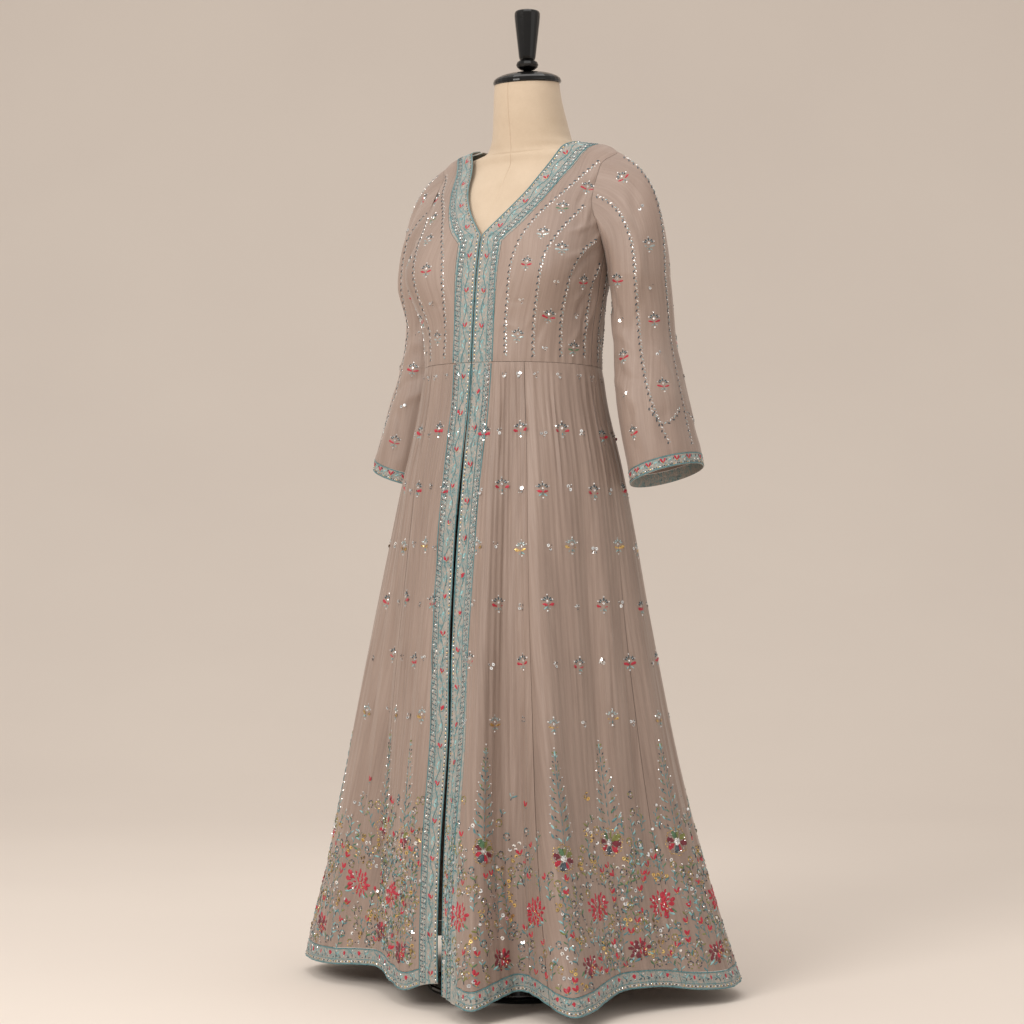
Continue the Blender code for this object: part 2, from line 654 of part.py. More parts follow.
def build_finial(parts):
    """A turned handle: a flat ball with a tapered grip that widens to a rounded top."""
    ball_radius = 0.0181
    grip = [(0.0, 0.0983)] + arc(0.0055, (0.0152, 0.0928), 80, 10, 3)
    grip += [(0.0208, 0.0890), (0.0198, 0.0780), (0.0166, 0.0500), (0.0136, 0.0235), (0.0128, 0.0200)]
    ball = [(ball_radius * math.cos(math.radians(a)), 0.0103 + 0.0103 * math.sin(math.radians(a)))
            for a in (50, 25, 0, -25, -50, -75)]
    profile = grip + ball + [(0.0, 0.0)]
    foot_z = NECK_TOP_Z + 0.0004 + 0.0205 + 0.0004
    turned("finial", profile, "lacquer", parts, (0.0, AXIS_Y, foot_z), 20)


def build_stand(parts):
    """A round weighted base on the floor and the pole up into the dress form."""
    base_radius = 0.150
    profile = [(0.0, 0.018), (0.040, 0.017), (0.132, 0.010)]
    profile += arc(0.006, (base_radius - 0.006, 0.006), 60, -60, 4)
    profile += [(base_radius - 0.008, 0.0), (0.0, 0.0)]
    turned("stand_base", profile, "lacquer", parts, (0.0, 0.0, 0.0), 32)
    foot = 0.0184
    pole_radius = 0.014
    top = FORM_BOTTOM_Z - 0.0004
    pole = [(0.0, top), (pole_radius, top), (pole_radius, foot), (0.0, foot)]
    turned("stand_pole", pole, "steel", parts, (0.0, 0.0, 0.0), 20)


def main():
    for obj in list(bpy.data.objects):
        bpy.data.objects.remove(obj, do_unlink=True)
    parts = bpy.data.collections.new(OBJECT)
    bpy.context.scene.collection.children.link(parts)
    build_bodice_fronts(parts)
    build_bodice_back(parts)
    build_sleeves(parts)
    build_skirt(parts)
    build_form_body(parts)
    build_neck_cap(parts)
    build_finial(parts)
    build_stand(parts)


main()
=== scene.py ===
"""Looks of an anarkali gown on a limbless dress form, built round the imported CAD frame.

Every cloth piece is a thin shell on the same surfaces as the CAD solids, cut finer and creased.
The embroidery is real geometry: beads, sequins, petals, leaves and couched cords that lie on the
cloth. Metres, +Z up, the gown faces -Y and +X is the wearer's left.
"""
import math

import bpy
import numpy as np
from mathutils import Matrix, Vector


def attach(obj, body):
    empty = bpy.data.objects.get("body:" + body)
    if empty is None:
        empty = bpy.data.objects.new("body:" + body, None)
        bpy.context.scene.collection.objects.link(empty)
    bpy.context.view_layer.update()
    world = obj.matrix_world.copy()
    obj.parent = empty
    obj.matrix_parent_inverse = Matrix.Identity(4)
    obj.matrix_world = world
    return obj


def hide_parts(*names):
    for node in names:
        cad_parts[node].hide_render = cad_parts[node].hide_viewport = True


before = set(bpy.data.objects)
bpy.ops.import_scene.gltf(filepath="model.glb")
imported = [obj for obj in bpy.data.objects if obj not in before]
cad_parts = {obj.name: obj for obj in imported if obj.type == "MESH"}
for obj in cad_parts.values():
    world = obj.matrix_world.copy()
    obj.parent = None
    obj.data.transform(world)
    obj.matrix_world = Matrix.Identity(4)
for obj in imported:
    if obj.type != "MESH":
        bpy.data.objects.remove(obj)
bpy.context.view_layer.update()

# ---- sizes shared with the CAD -----------------------------------------------------------------
WAIST_Z = 1.000
WAIST_DIP = 0.012
HEM_Z = 0.027
UNDERARM_Z = 1.172
SHOULDER_TIP_Z = 1.335
CLOTH = 0.0009             # thickness of the cloth's shell
BAND_CLOTH = 0.0012        # and of the stiffer worked bands
SEAM = 0.0003              # half the gap between two pieces
BAND_WIDTH = 0.037
HEM_BAND = 0.028
CUFF_BAND = 0.019
NECK_TOP_Z = 1.457
AXIS_Y = 0.020
SKIRT_LENGTH = WAIST_Z - HEM_Z
HEM_START = 1 - HEM_BAND / SKIRT_LENGTH

# z, half_width, centre_y, half_depth, power
SECTIONS = (
    (0.980, 0.155, -0.019, 0.110, 2.10),
    (1.000, 0.154, -0.020, 0.110, 2.10),
    (1.050, 0.157, -0.021, 0.106, 2.10),
    (1.100, 0.163, -0.018, 0.104, 2.20),
    (1.165, 0.171, -0.012, 0.101, 2.30),
    (1.200, 0.175, -0.004, 0.101, 2.30),
    (1.235, 0.179, 0.006, 0.095, 2.20),
    (1.285, 0.180, 0.018, 0.078, 1.90),
    (1.312, 0.178, 0.022, 0.067, 1.50),
    (1.325, 0.1755, 0.024, 0.062, 1.42),
    (1.335, 0.1700, 0.026, 0.060, 1.40),
    (1.348, 0.1450, 0.028, 0.062, 1.40),
    (1.3575, 0.0990, 0.034, 0.067, 1.60),
    (1.368, 0.0810, 0.033, 0.067, 1.85),
    (1.382, 0.0725, 0.031, 0.067, 2.00),
    (1.400, 0.0680, 0.0272, 0.0665, 2.00),
    (1.420, 0.0645, 0.0231, 0.0640, 2.00),
    (1.440, 0.0622, 0.0200, 0.0617, 2.00),
    (1.460, 0.0600, 0.0190, 0.0600, 2.00),
)
BUST = {"height": 0.030, "angle": 45.0, "angle_reach": 23.0, "z": 1.145, "z_reach": 0.060}
# inner_x, inner_z, outer_x, outer_z of the neck strip, from the V to the shoulder
NECK_BAND = (
    (0.0006, 1.2030, 0.0420, 1.1900),
    (0.0340, 1.2400, 0.0700, 1.2180),
    (0.0580, 1.2750, 0.0940, 1.2580),
    (0.0740, 1.3150, 0.1130, 1.3030),
    (0.0860, 1.3420, 0.1250, 1.3320),
    (0.0984, 1.3573, 0.1370, 1.3497),
)
# angle and height of the armhole seam, underarm to shoulder
ARMHOLE_FRONT = ((90.0, 1.172), (84.0, 1.186), (77.0, 1.205), (66.0, 1.235), (62.0, 1.262),
                 (63.0, 1.295), (68.0, 1.320), (90.0, 1.335))
ARMHOLE_BACK = ((90.0, 1.172), (97.0, 1.188), (104.0, 1.210), (110.0, 1.240), (112.0, 1.268),
                (110.0, 1.297), (104.0, 1.321), (90.0, 1.335))
# edge_x, edge_z, strip_x, strip_z of the back neck's strip, shoulder to centre back
BACK_NECK = ((0.0984, 1.3573, 0.137, 1.3497), (0.080, 1.349, 0.105, 1.331),
             (0.055, 1.342, 0.074, 1.315), (0.028, 1.338, 0.038, 1.305), (0.0, 1.337, 0.0, 1.302))
# fraction of the skirt's length, share of the flare
FLARE = ((0.00, 0.000), (0.06, 0.042), (0.17, 0.165), (0.40, 0.370), (0.70, 0.655),
         (0.87, 0.842), (1.00, 1.000))
HEM_HALF_WIDTH = 0.365
HEM_HALF_DEPTH = 0.285
FOLD_GROWTH = 1.5
SWAY = (-0.0070, -0.0050)  # how far the skirt hangs off centre, two thirds of the way down
# compass angle, reach from the pole's axis and lift of the hem at each fold
HEM_FOLDS = (
    (0.0, 0.252, 0.004), (9.0, 0.262, 0.002), (17.0, 0.300, -0.002), (23.5, 0.326, -0.004),
    (29.0, 0.285, 0.006), (35.0, 0.246, 0.012), (41.0, 0.272, 0.008), (48.0, 0.352, -0.008),
    (54.0, 0.338, -0.006), (61.0, 0.305, 0.002), (69.0, 0.284, 0.010), (77.0, 0.290, 0.012),
    (86.0, 0.298, 0.008), (94.0, 0.322, 0.000), (103.0, 0.352, -0.004), (115.0, 0.357, -0.002),
    (128.0, 0.328, 0.004), (141.0, 0.296, 0.008), (153.0, 0.322, -0.002), (166.0, 0.270, 0.008),
    (179.0, 0.306, -0.002), (192.0, 0.268, 0.008), (205.0, 0.318, -0.004), (218.0, 0.288, 0.008),
    (231.0, 0.338, -0.002), (244.0, 0.322, 0.006), (257.0, 0.366, -0.004), (270.0, 0.376, 0.000),
    (283.0, 0.388, -0.002), (292.0, 0.352, 0.000), (301.0, 0.306, 0.004), (310.0, 0.248, 0.010),
    (322.0, 0.230, 0.012), (336.0, 0.236, 0.004), (348.0, 0.244, -0.002), (360.0, 0.246, 0.014),
    (366.0, 0.246, 0.018),
)
# fraction, left_x, right_x of the skirt's two front edges
FRONT_EDGES = ((0.00, 0.0006, -0.0006), (0.12, 0.0012, -0.0014), (0.28, 0.0020, -0.0040),
               (0.42, 0.0050, -0.0010), (0.60, 0.0170, 0.0100), (0.78, 0.0210, 0.0100),
               (0.94, 0.0330, 0.0170), (1.00, 0.0390, 0.0220))
KALI_SEAMS = (44.0, 90.0, 134.0, 180.0, 226.0, 270.0, 314.0)
KALI_NAMES = ("front_left", "side_front_left", "side_back_left", "back_left",
              "back_right", "side_back_right", "side_front_right", "front_right")
# z, x, y, half_width, half_depth, tilt of the left sleeve; then the right sleeve's x and y
SLEEVE = (
    (1.135, 0.2094, 0.030, 0.0455, 0.056, 0.00, 0.2090, 0.032),
    (1.090, 0.2069, 0.042, 0.0450, 0.057, 0.02, 0.2068, 0.044),
    (1.040, 0.2088, 0.047, 0.0450, 0.058, 0.05, 0.2110, 0.047),
    (0.990, 0.2177, 0.042, 0.0480, 0.061, 0.10, 0.2165, 0.044),
    (0.940, 0.2300, 0.036, 0.0510, 0.064, 0.17, 0.2280, 0.040),
    (0.890, 0.2420, 0.035, 0.0520, 0.066, 0.25, 0.2400, 0.036),
    (0.845, 0.2540, 0.035, 0.0530, 0.067, 0.33, 0.2520, 0.034),
    (0.782, 0.2640, 0.035, 0.0530, 0.067, 0.36, 0.2620, 0.034),
)
CUFF_Z = 0.822
SIDES = (("left", 1), ("right", -1))


# ---- reading tables and surfaces ---------------------------------------------------------------
def smooth(table, column, at):
    """A column of a table as a smooth curve over its first column, for an array of places."""
    rows = np.array(table, dtype=float)
    knots, values = rows[:, 0], rows[:, column]
    slopes = np.gradient(values, knots)
    place = np.clip(at, knots[0], knots[-1])
    low = np.clip(np.searchsorted(knots, place) - 1, 0, len(knots) - 2)
    span = knots[low + 1] - knots[low]
    t = (place - knots[low]) / span
    rise = (2 * t**3 - 3 * t**2 + 1) * values[low] + (3 * t**2 - 2 * t**3) * values[low + 1]
    bend = (t**3 - 2 * t**2 + t) * slopes[low] + (t**3 - t**2) * slopes[low + 1]
    return rise + span * bend


def numbered(rows):
    return tuple((float(i),) + tuple(row) for i, row in enumerate(rows))


def mix(a, b, t):
    return a + (b - a) * t


def ease(t):
    t = np.clip(t, 0.0, 1.0)
    return t * t * (3 - 2 * t)


def section_xy(angle, half_width, half_depth, power):
    across = np.sign(np.sin(angle)) * np.abs(np.sin(angle)) ** (2 / power)
    along = np.sign(np.cos(angle)) * np.abs(np.cos(angle)) ** (2 / power)
    return half_width * across, -half_depth * along


def body_base(angle, z):
    """The worn bodice's outer face, as in the CAD."""
    angle, z = np.broadcast_arrays(np.asarray(angle, float), np.asarray(z, float))
    width, centre, depth, power = (smooth(SECTIONS, i, z) for i in range(1, 5))
    x, y = section_xy(angle, width, depth, power)
    around = np.degrees(np.arctan2(np.sin(angle), np.cos(angle)))
    turn = (np.abs(around) - BUST["angle"]) / BUST["angle_reach"]
    swell = BUST["height"] * np.exp(-turn**2 - ((z - BUST["z"]) / BUST["z_reach"]) ** 2)
    return np.stack((x + swell * np.sin(angle), centre + y - swell * np.cos(angle), z), axis=-1)


def normals_of(surface, a, b, turn=1.0, step=0.0008):
    across = surface(a + step, b) - surface(a - step, b)
    along = surface(a, b + step) - surface(a, b - step)
    normal = np.cross(across, along) * turn
    return normal / np.maximum(np.linalg.norm(normal, axis=-1, keepdims=True), 1e-12)


def troughs(table, a, b):
    """Soft ridges and hollows along lines: rows of a0, b0, a1, b1, half-width and height."""
    total = np.zeros(np.broadcast(a, b).shape)
    for a0, b0, a1, b1, reach, height in table:
        da, db = a1 - a0, b1 - b0
        span = math.hypot(da, db)
        along = ((a - a0) * da + (b - b0) * db) / span**2
        aside = ((a - a0) * db - (b - b0) * da) / span
        aside = aside + 0.10 * span * np.sin(math.pi * np.clip(along, 0, 1)) ** 2 * math.copysign(1, height)
        ends = ease(along / 0.28) * ease((1 - along) / 0.28)
        total = total + height * ends * np.exp(-(aside / reach) ** 2)
    return total


# Creases of the bodice: metres round from the centre front, height; then half-width and height.
# The first table is the wearer's left front, mirrored with a small change for the right front.
BODICE_CREASES = (
    (0.225, 1.215, 0.120, 1.150, 0.0060, 0.0030), (0.232, 1.190, 0.135, 1.110, 0.0070, -0.0030),
    (0.235, 1.165, 0.160, 1.085, 0.0060, 0.0026), (0.215, 1.245, 0.125, 1.195, 0.0050, 0.0020),
    (0.228, 1.140, 0.175, 1.055, 0.0070, -0.0024), (0.236, 1.120, 0.190, 1.030, 0.0060, 0.0022),
    (0.150, 1.085, 0.105, 1.025, 0.0060, -0.0018), (0.200, 1.065, 0.160, 1.015, 0.0055, 0.0020),
    (0.100, 1.125, 0.085, 1.040, 0.0050, 0.0013), (0.050, 1.150, 0.062, 1.065, 0.0045, 0.0012),
    (0.045, 1.100, 0.085, 1.092, 0.0035, -0.0012), (0.042, 1.055, 0.078, 1.050, 0.0035, 0.0012),
    (0.190, 1.300, 0.130, 1.235, 0.0080, -0.0022), (0.110, 1.280, 0.085, 1.215, 0.0070, -0.0014),
    (0.165, 1.255, 0.150, 1.190, 0.0060, 0.0018), (0.205, 1.090, 0.215, 1.010, 0.0050, -0.0018),
)
BACK_CREASES = (
    (0.300, 1.230, 0.380, 1.160, 0.0080, -0.0026), (0.290, 1.190, 0.360, 1.110, 0.0070, 0.0028),
    (0.280, 1.150, 0.340, 1.070, 0.0070, -0.0026), (0.330, 1.090, 0.370, 1.020, 0.0060, 0.0022),
    (0.400, 1.110, 0.405, 1.015, 0.0070, 0.0020), (0.285, 1.080, 0.310, 1.015, 0.0060, 0.0022),
    (0.375, 1.300, 0.400, 1.240, 0.0080, -0.0016),
)
DART_X = 0.094             # metres round from the centre front
DART_TOP = 1.150


def body_crease(angle, z):
    around = np.arctan2(np.sin(angle), np.cos(angle))
    metres = np.abs(around) * 0.150
    stretch = np.where(around < 0, 0.004 * np.sin(40 * z), 0.0)
    level = z + stretch
    size = troughs(BODICE_CREASES, metres, level) * np.where(around < 0, 0.85, 1.0)
    size = size + troughs(BACK_CREASES, metres, level)
    near_waist = ease((1.045 - z) / 0.045) * ease((z - 0.985) / 0.01)
    size = size + 0.0006 * near_waist * np.sin(metres * 310 + 3 * np.sin(metres * 41))
    dart = np.exp(-((metres - DART_X - 0.10 * (z - WAIST_Z)) / 0.0016) ** 2)
    size = size - 0.0013 * dart * ease((DART_TOP - z) / 0.05)
    seam = np.exp(-((metres - 0.150 * math.pi / 2) / 0.0018) ** 2) * ease((UNDERARM_Z + 0.002 - z) / 0.004)
    size = size - 0.0010 * seam
    fade = ease((z - WAIST_Z + 0.016) / 0.012) * ease((1.345 - z) / 0.02)
    return size * fade


def body(angle, z):
    normal = normals_of(body_base, angle, z)
    return body_base(angle, z) + normal * body_crease(angle, z)[..., None]


def waist_height(y):
    front = SECTIONS[1][2] - SECTIONS[1][3]
    return WAIST_Z - WAIST_DIP * (y - front) / (2 * SECTIONS[1][3])


def waist_z(angle):
    width, centre, depth, power = SECTIONS[1][1:]
    return waist_height(centre + section_xy(angle, width, depth, power)[1])


def angle_at(x, z):
    share = np.minimum(1.0, x / smooth(SECTIONS, 1, z))
    return np.arcsin(share ** (smooth(SECTIONS, 4, z) / 2))


def strip_edge(step, inner):
    """Angle and height on an edge of the front and neck strip: 0 waist, 1 the V, 2 shoulder."""
    step = np.asarray(step, float)
    first = NECK_BAND[0]
    x_low = np.full(step.shape, first[0]) if inner else mix(BAND_WIDTH, first[2], np.clip(step, 0, 1))
    top = first[1] if inner else first[3]
    base = waist_z(angle_at(x_low, WAIST_Z))
    z_low = mix(base, top, np.clip(step, 0, 1))
    rows = numbered(NECK_BAND)
    place = np.clip(step - 1, 0, 1) * (len(NECK_BAND) - 1)
    x_high = smooth(rows, 1 if inner else 3, place)
    z_high = smooth(rows, 2 if inner else 4, place)
    x = np.where(step <= 1, x_low, x_high)
    z = np.where(step <= 1, z_low, z_high)
    return np.where(step >= 2, math.pi / 2, angle_at(x, z)), z


def side_edge(step, armhole):
    step = np.asarray(step, float)
    base = waist_z(math.pi / 2)
    z_low = mix(base, UNDERARM_Z, np.clip(step, 0, 1))
    place = np.clip(step - 1, 0, 1) * (len(armhole) - 1)
    rows = numbered(armhole)
    angle = np.where(step <= 1, math.pi / 2, np.radians(smooth(rows, 1, place)))
    return angle, np.where(step <= 1, z_low, smooth(rows, 2, place))


def oval_radius(angle, width, depth, power):
    share = (np.abs(np.sin(angle)) / width) ** power
    return (share + (np.abs(np.cos(angle)) / depth) ** power) ** (-1 / power)


def skirt_base(angle, fraction):
    """The skirt's outer face, as in the CAD."""
    angle, fraction = np.broadcast_arrays(np.asarray(angle, float), np.asarray(fraction, float))
    degrees = np.degrees(angle)
    width0, centre0, depth0, power = SECTIONS[1][1:]
    top_z = waist_height(centre0 - oval_radius(angle, width0, depth0, power) * np.cos(angle))
    z = top_z + (HEM_Z + smooth(HEM_FOLDS, 2, degrees) * fraction**2 - top_z) * fraction
    share = smooth(FLARE, 1, fraction)
    width = mix(width0, HEM_HALF_WIDTH, share)
    depth = mix(depth0, HEM_HALF_DEPTH, share)
    radius = oval_radius(angle, width, depth, power + (2.0 - power) * np.minimum(1.0, 4 * fraction))
    plain = 1 / np.hypot(np.sin(angle) / HEM_HALF_WIDTH, np.cos(angle) / HEM_HALF_DEPTH)
    fold = smooth(HEM_FOLDS, 1, degrees) - plain
    reach = radius + fold * np.maximum(0.0, fraction) ** FOLD_GROWTH
    sway = 6.75 * fraction**2 * (1 - fraction)
    x = SWAY[0] * sway + reach * np.sin(angle)
    y = SWAY[1] * sway + centre0 * (1 - share) - reach * np.cos(angle)
    return np.stack((x, y, z), axis=-1)


# Lesser folds of the skirt: angle at the waist, angle at the hem, first and last fraction,
# half-width in degrees at the hem and height. They are uneven, and as many round the back.
SKIRT_CREASES = (
    (24, 21, 0.02, 0.80, 2.2, 0.0040), (33, 30, 0.06, 1.05, 1.8, -0.0060),
    (41, 38, 0.30, 1.10, 1.4, -0.0070), (47, 45, 0.01, 0.55, 2.2, 0.0040),
    (55, 57, 0.05, 0.95, 2.4, -0.0050), (63, 66, 0.02, 0.70, 2.4, 0.0050),
    (72, 73, 0.12, 1.10, 2.0, -0.0060), (80, 81, 0.03, 0.60, 2.4, 0.0045),
    (88, 88, 0.25, 1.10, 1.8, -0.0050), (97, 98, 0.02, 0.90, 2.6, 0.0050),
    (108, 109, 0.08, 1.10, 2.0, -0.0060), (118, 121, 0.01, 0.75, 2.4, 0.0050),
    (127, 134, 0.10, 1.10, 2.2, -0.0060), (138, 147, 0.03, 0.70, 2.2, 0.0050),
    (149, 159, 0.05, 1.10, 2.0, -0.0060), (160, 172, 0.02, 0.80, 2.4, 0.0050),
    (172, 184, 0.12, 1.10, 2.0, -0.0055), (183, 198, 0.02, 0.65, 2.2, 0.0050),
    (195, 211, 0.08, 1.10, 2.2, -0.0060), (207, 224, 0.02, 0.90, 2.2, 0.0050),
    (219, 237, 0.10, 1.10, 2.0, -0.0050), (231, 250, 0.03, 0.70, 2.4, 0.0045),
    (243, 263, 0.06, 1.10, 2.2, -0.0050), (255, 276, 0.02, 0.75, 2.4, 0.0050),
    (268, 288, 0.10, 1.10, 2.0, -0.0060), (281, 297, 0.02, 0.85, 2.4, 0.0050),
    (294, 306, 0.04, 1.10, 2.0, -0.0080), (303, 314, 0.25, 1.05, 2.0, -0.0080),
    (316, 328, 0.03, 0.80, 2.4, 0.0050), (329, 339, 0.15, 1.10, 2.0, -0.0060),
    (338, 345, 0.03, 0.60, 2.2, 0.0040),
)


def skirt_crease(angle, fraction):
    degrees = np.degrees(angle)
    total = np.zeros(np.broadcast(angle, fraction).shape)
    for top, hem, start, end, reach, height in SKIRT_CREASES:
        wander = 1.2 * np.sin(5 * fraction + top)
        middle = mix(top, hem, fraction) + wander * fraction * (1 - fraction)
        width = reach * (1.9 - 0.9 * np.clip(fraction, 0, 1))
        grow = ease((fraction - start) / 0.22) * ease((end - fraction) / 0.25)
        size = height * (0.35 + 0.75 * np.clip(fraction, 0, 1))
        total = total + size * grow * np.exp(-((degrees - middle) / width) ** 2)
    gather = ease(fraction / 0.02) * (1 - ease(fraction / 0.35))
    total = total + 0.0008 * gather * np.sin(degrees * 1.35 + 2.5 * np.sin(degrees * 0.21))
    ripple = np.sin(degrees * 2.3 + 3.1 * np.sin(3.0 * fraction + degrees * 0.05))
    patchy = 0.4 + 0.6 * np.sin(degrees * 0.37 + 7 * fraction) ** 2
    total = total + 0.0010 * ripple * patchy * ease(fraction / 0.1)
    return total * ease(fraction / 0.012)


def skirt(angle, fraction):
    normal = normals_of(skirt_base, angle, fraction, -1.0)
    return skirt_base(angle, fraction) + normal * skirt_crease(angle, fraction)[..., None]


def front_edge_angle(fraction, side):
    x = smooth(FRONT_EDGES, 1 if side > 0 else 2, fraction)
    turn = 0.0 if side > 0 else 2 * math.pi
    middle = skirt_base(turn, fraction)
    return turn + np.arcsin((x - middle[..., 0]) / np.abs(middle[..., 1]))


def strip_seam_angle(fraction, side):
    edge = front_edge_angle(fraction, side)
    return edge + side * BAND_WIDTH / np.abs(skirt_base(edge, fraction)[..., 1])


def kali_bounds(index, fraction):
    flat = np.zeros_like(fraction)
    first = strip_seam_angle(fraction, 1) if index == 0 else flat + math.radians(KALI_SEAMS[index - 1])
    if index == len(KALI_NAMES) - 1:
        return first, strip_seam_angle(fraction, -1)
    return first, flat + math.radians(KALI_SEAMS[index])


def sleeve_ring(z, turn, side):
    table = tuple(reversed(SLEEVE))
    x, y = (smooth(table, i, z) for i in ((1, 2) if side > 0 else (6, 7)))
    width, depth, tilt = (smooth(table, i, z) for i in (3, 4, 5))
    out = width * np.cos(turn)
    return np.stack((x + out, y - depth * np.sin(turn), z + tilt * out), axis=-1)


def armhole_point(turn):
    """A point on the left armhole seam: turn 0 shoulder, then front, underarm and back."""
    turn = np.mod(turn, 2 * math.pi)
    front = turn <= math.pi
    step = np.where(front, 2 - turn / math.pi, turn / math.pi)
    angle_f, z_f = side_edge(step, ARMHOLE_FRONT)
    angle_b, z_b = side_edge(step, ARMHOLE_BACK)
    return body_base(np.where(front, angle_f, angle_b), np.where(front, z_f, z_b))


CAP_SHARE = 0.38           # share of the sleeve's length above its first level ring
ARM_TOP = SLEEVE[0][0]
ARM_END = CUFF_Z + CUFF_BAND


def sleeve_base(turn, along, side):
    """The sleeve's outer face, 0 at the armhole and 1 at the cuff strip, on the left side."""
    turn, along = np.broadcast_arrays(np.asarray(turn, float), np.asarray(along, float))
    top = 0.5 * (1 + np.cos(turn))[..., None]
    leave = np.concatenate((0.40 + 0.60 * top, 0 * top, -0.90 + 0.42 * top), axis=-1)
    leave /= np.linalg.norm(leave, axis=-1, keepdims=True)
    arrive = np.array((-0.03, 0.06, -1.0))
    start = armhole_point(turn)
    end = sleeve_ring(np.full(turn.shape, ARM_TOP), turn, side)
    length = np.linalg.norm(end - start, axis=-1, keepdims=True) * (0.6 + 0.65 * top)
    t = np.clip(along / CAP_SHARE, 0, 1)[..., None]
    begin = start + np.array((1.0, 0.0, -0.35)) * 0.0004
    cap = (2 * t**3 - 3 * t**2 + 1) * begin + (3 * t**2 - 2 * t**3) * end
    cap = cap + length * ((t**3 - 2 * t**2 + t) * leave + (t**3 - t**2) * arrive)
    z = mix(ARM_TOP, ARM_END, (along - CAP_SHARE) / (1 - CAP_SHARE))
    arm = sleeve_ring(np.minimum(z, ARM_TOP), turn, side)
    return np.where((along < CAP_SHARE)[..., None], cap, arm)


# Creases of a sleeve: turn in degrees / 1000, length share; then half-width and height.
SLEEVE_CREASES = (
    (0.020, 0.06, 0.035, 0.40, 0.0090, -0.0030), (0.075, 0.08, 0.062, 0.52, 0.0090, 0.0035),
    (0.110, 0.10, 0.090, 0.60, 0.0080, -0.0035), (0.050, 0.45, 0.075, 0.72, 0.0080, -0.0025),
    (0.125, 0.55, 0.060, 0.66, 0.0100, 0.0030), (0.130, 0.63, 0.050, 0.76, 0.0090, -0.0030),
    (0.140, 0.70, 0.085, 0.82, 0.0080, 0.0026), (0.040, 0.60, 0.015, 0.86, 0.0090, 0.0030),
    (0.080, 0.80, 0.110, 0.97, 0.0090, -0.0028), (0.030, 0.82, 0.045, 0.99, 0.0090, -0.0024),
    (0.150, 0.40, 0.120, 0.52, 0.0090, -0.0030), (0.160, 0.48, 0.118, 0.60, 0.0080, 0.0026),
    (0.215, 0.10, 0.240, 0.55, 0.0090, 0.0030), (0.260, 0.08, 0.275, 0.60, 0.0090, -0.0030),
    (0.320, 0.06, 0.310, 0.50, 0.0090, 0.0028), (0.230, 0.55, 0.300, 0.66, 0.0100, -0.0030),
    (0.220, 0.66, 0.285, 0.76, 0.0090, 0.0028), (0.250, 0.78, 0.262, 0.98, 0.0090, -0.0026),
    (0.335, 0.60, 0.345, 0.95, 0.0080, 0.0024), (0.295, 0.80, 0.318, 0.96, 0.0080, -0.0022),
)


def sleeve_crease(turn, along, side):
    degrees = np.degrees(np.mod(turn, 2 * math.pi)) / 1000
    level = along + (0.015 * np.sin(90 * degrees) if side < 0 else 0.0)
    halved = tuple((a, b * 0.5, c, d * 0.5, reach, size) for a, b, c, d, reach, size in SLEEVE_CREASES)
    size = troughs(halved, degrees, level * 0.5)
    size = size + 0.0007 * np.sin(np.degrees(turn) * 0.12 + 2 * np.sin(6 * along)) * ease(along / 0.2)
    return size * ease(along / 0.05) * ease((1.0 - along) / 0.04)


def sleeve_surface(side):
    def base(turn, along):
        return sleeve_base(turn, along, side)

    def surface(turn, along):
        normal = normals_of(base, turn, along)
        points = base(turn, along) + normal * sleeve_crease(turn, along, side)[..., None]
        return points * np.array((side, 1.0, 1.0))
    return surface


def cuff_surface(side):
    def surface(turn, drop):
        z = ARM_END - np.asarray(drop, float)
        return sleeve_ring(z, turn, side) * np.array((side, 1.0, 1.0))
    return surface


# ---- meshes ------------------------------------------------------------------------------------
def new_mesh_object(name, points, polygons, materials, uvs=None, kinds=None, sharp=50.0):
    mesh = bpy.data.meshes.new(name)
    mesh.from_pydata(points, [], polygons)
    if uvs is not None:
        layer = mesh.uv_layers.new(name="cloth")
        layer.data.foreach_set("uv", np.asarray(uvs, np.float32).ravel())
    for material in materials:
        mesh.materials.append(material)
    if kinds is not None:
        mesh.polygons.foreach_set("material_index", kinds)
    mesh.shade_smooth()
    if sharp:
        mesh.set_sharp_from_angle(angle=math.radians(sharp))
    mesh.validate()
    obj = bpy.data.objects.new(name, mesh)
    bpy.context.scene.collection.objects.link(obj)
    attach(obj, "root")
    return obj


def grid_normals(grid, ring):
    if ring:
        across = np.roll(grid, -1, axis=1) - np.roll(grid, 1, axis=1)
    else:
        across = np.gradient(grid, axis=1)
    normal = np.cross(across, np.gradient(grid, axis=0))
    return normal / np.maximum(np.linalg.norm(normal, axis=2, keepdims=True), 1e-12)


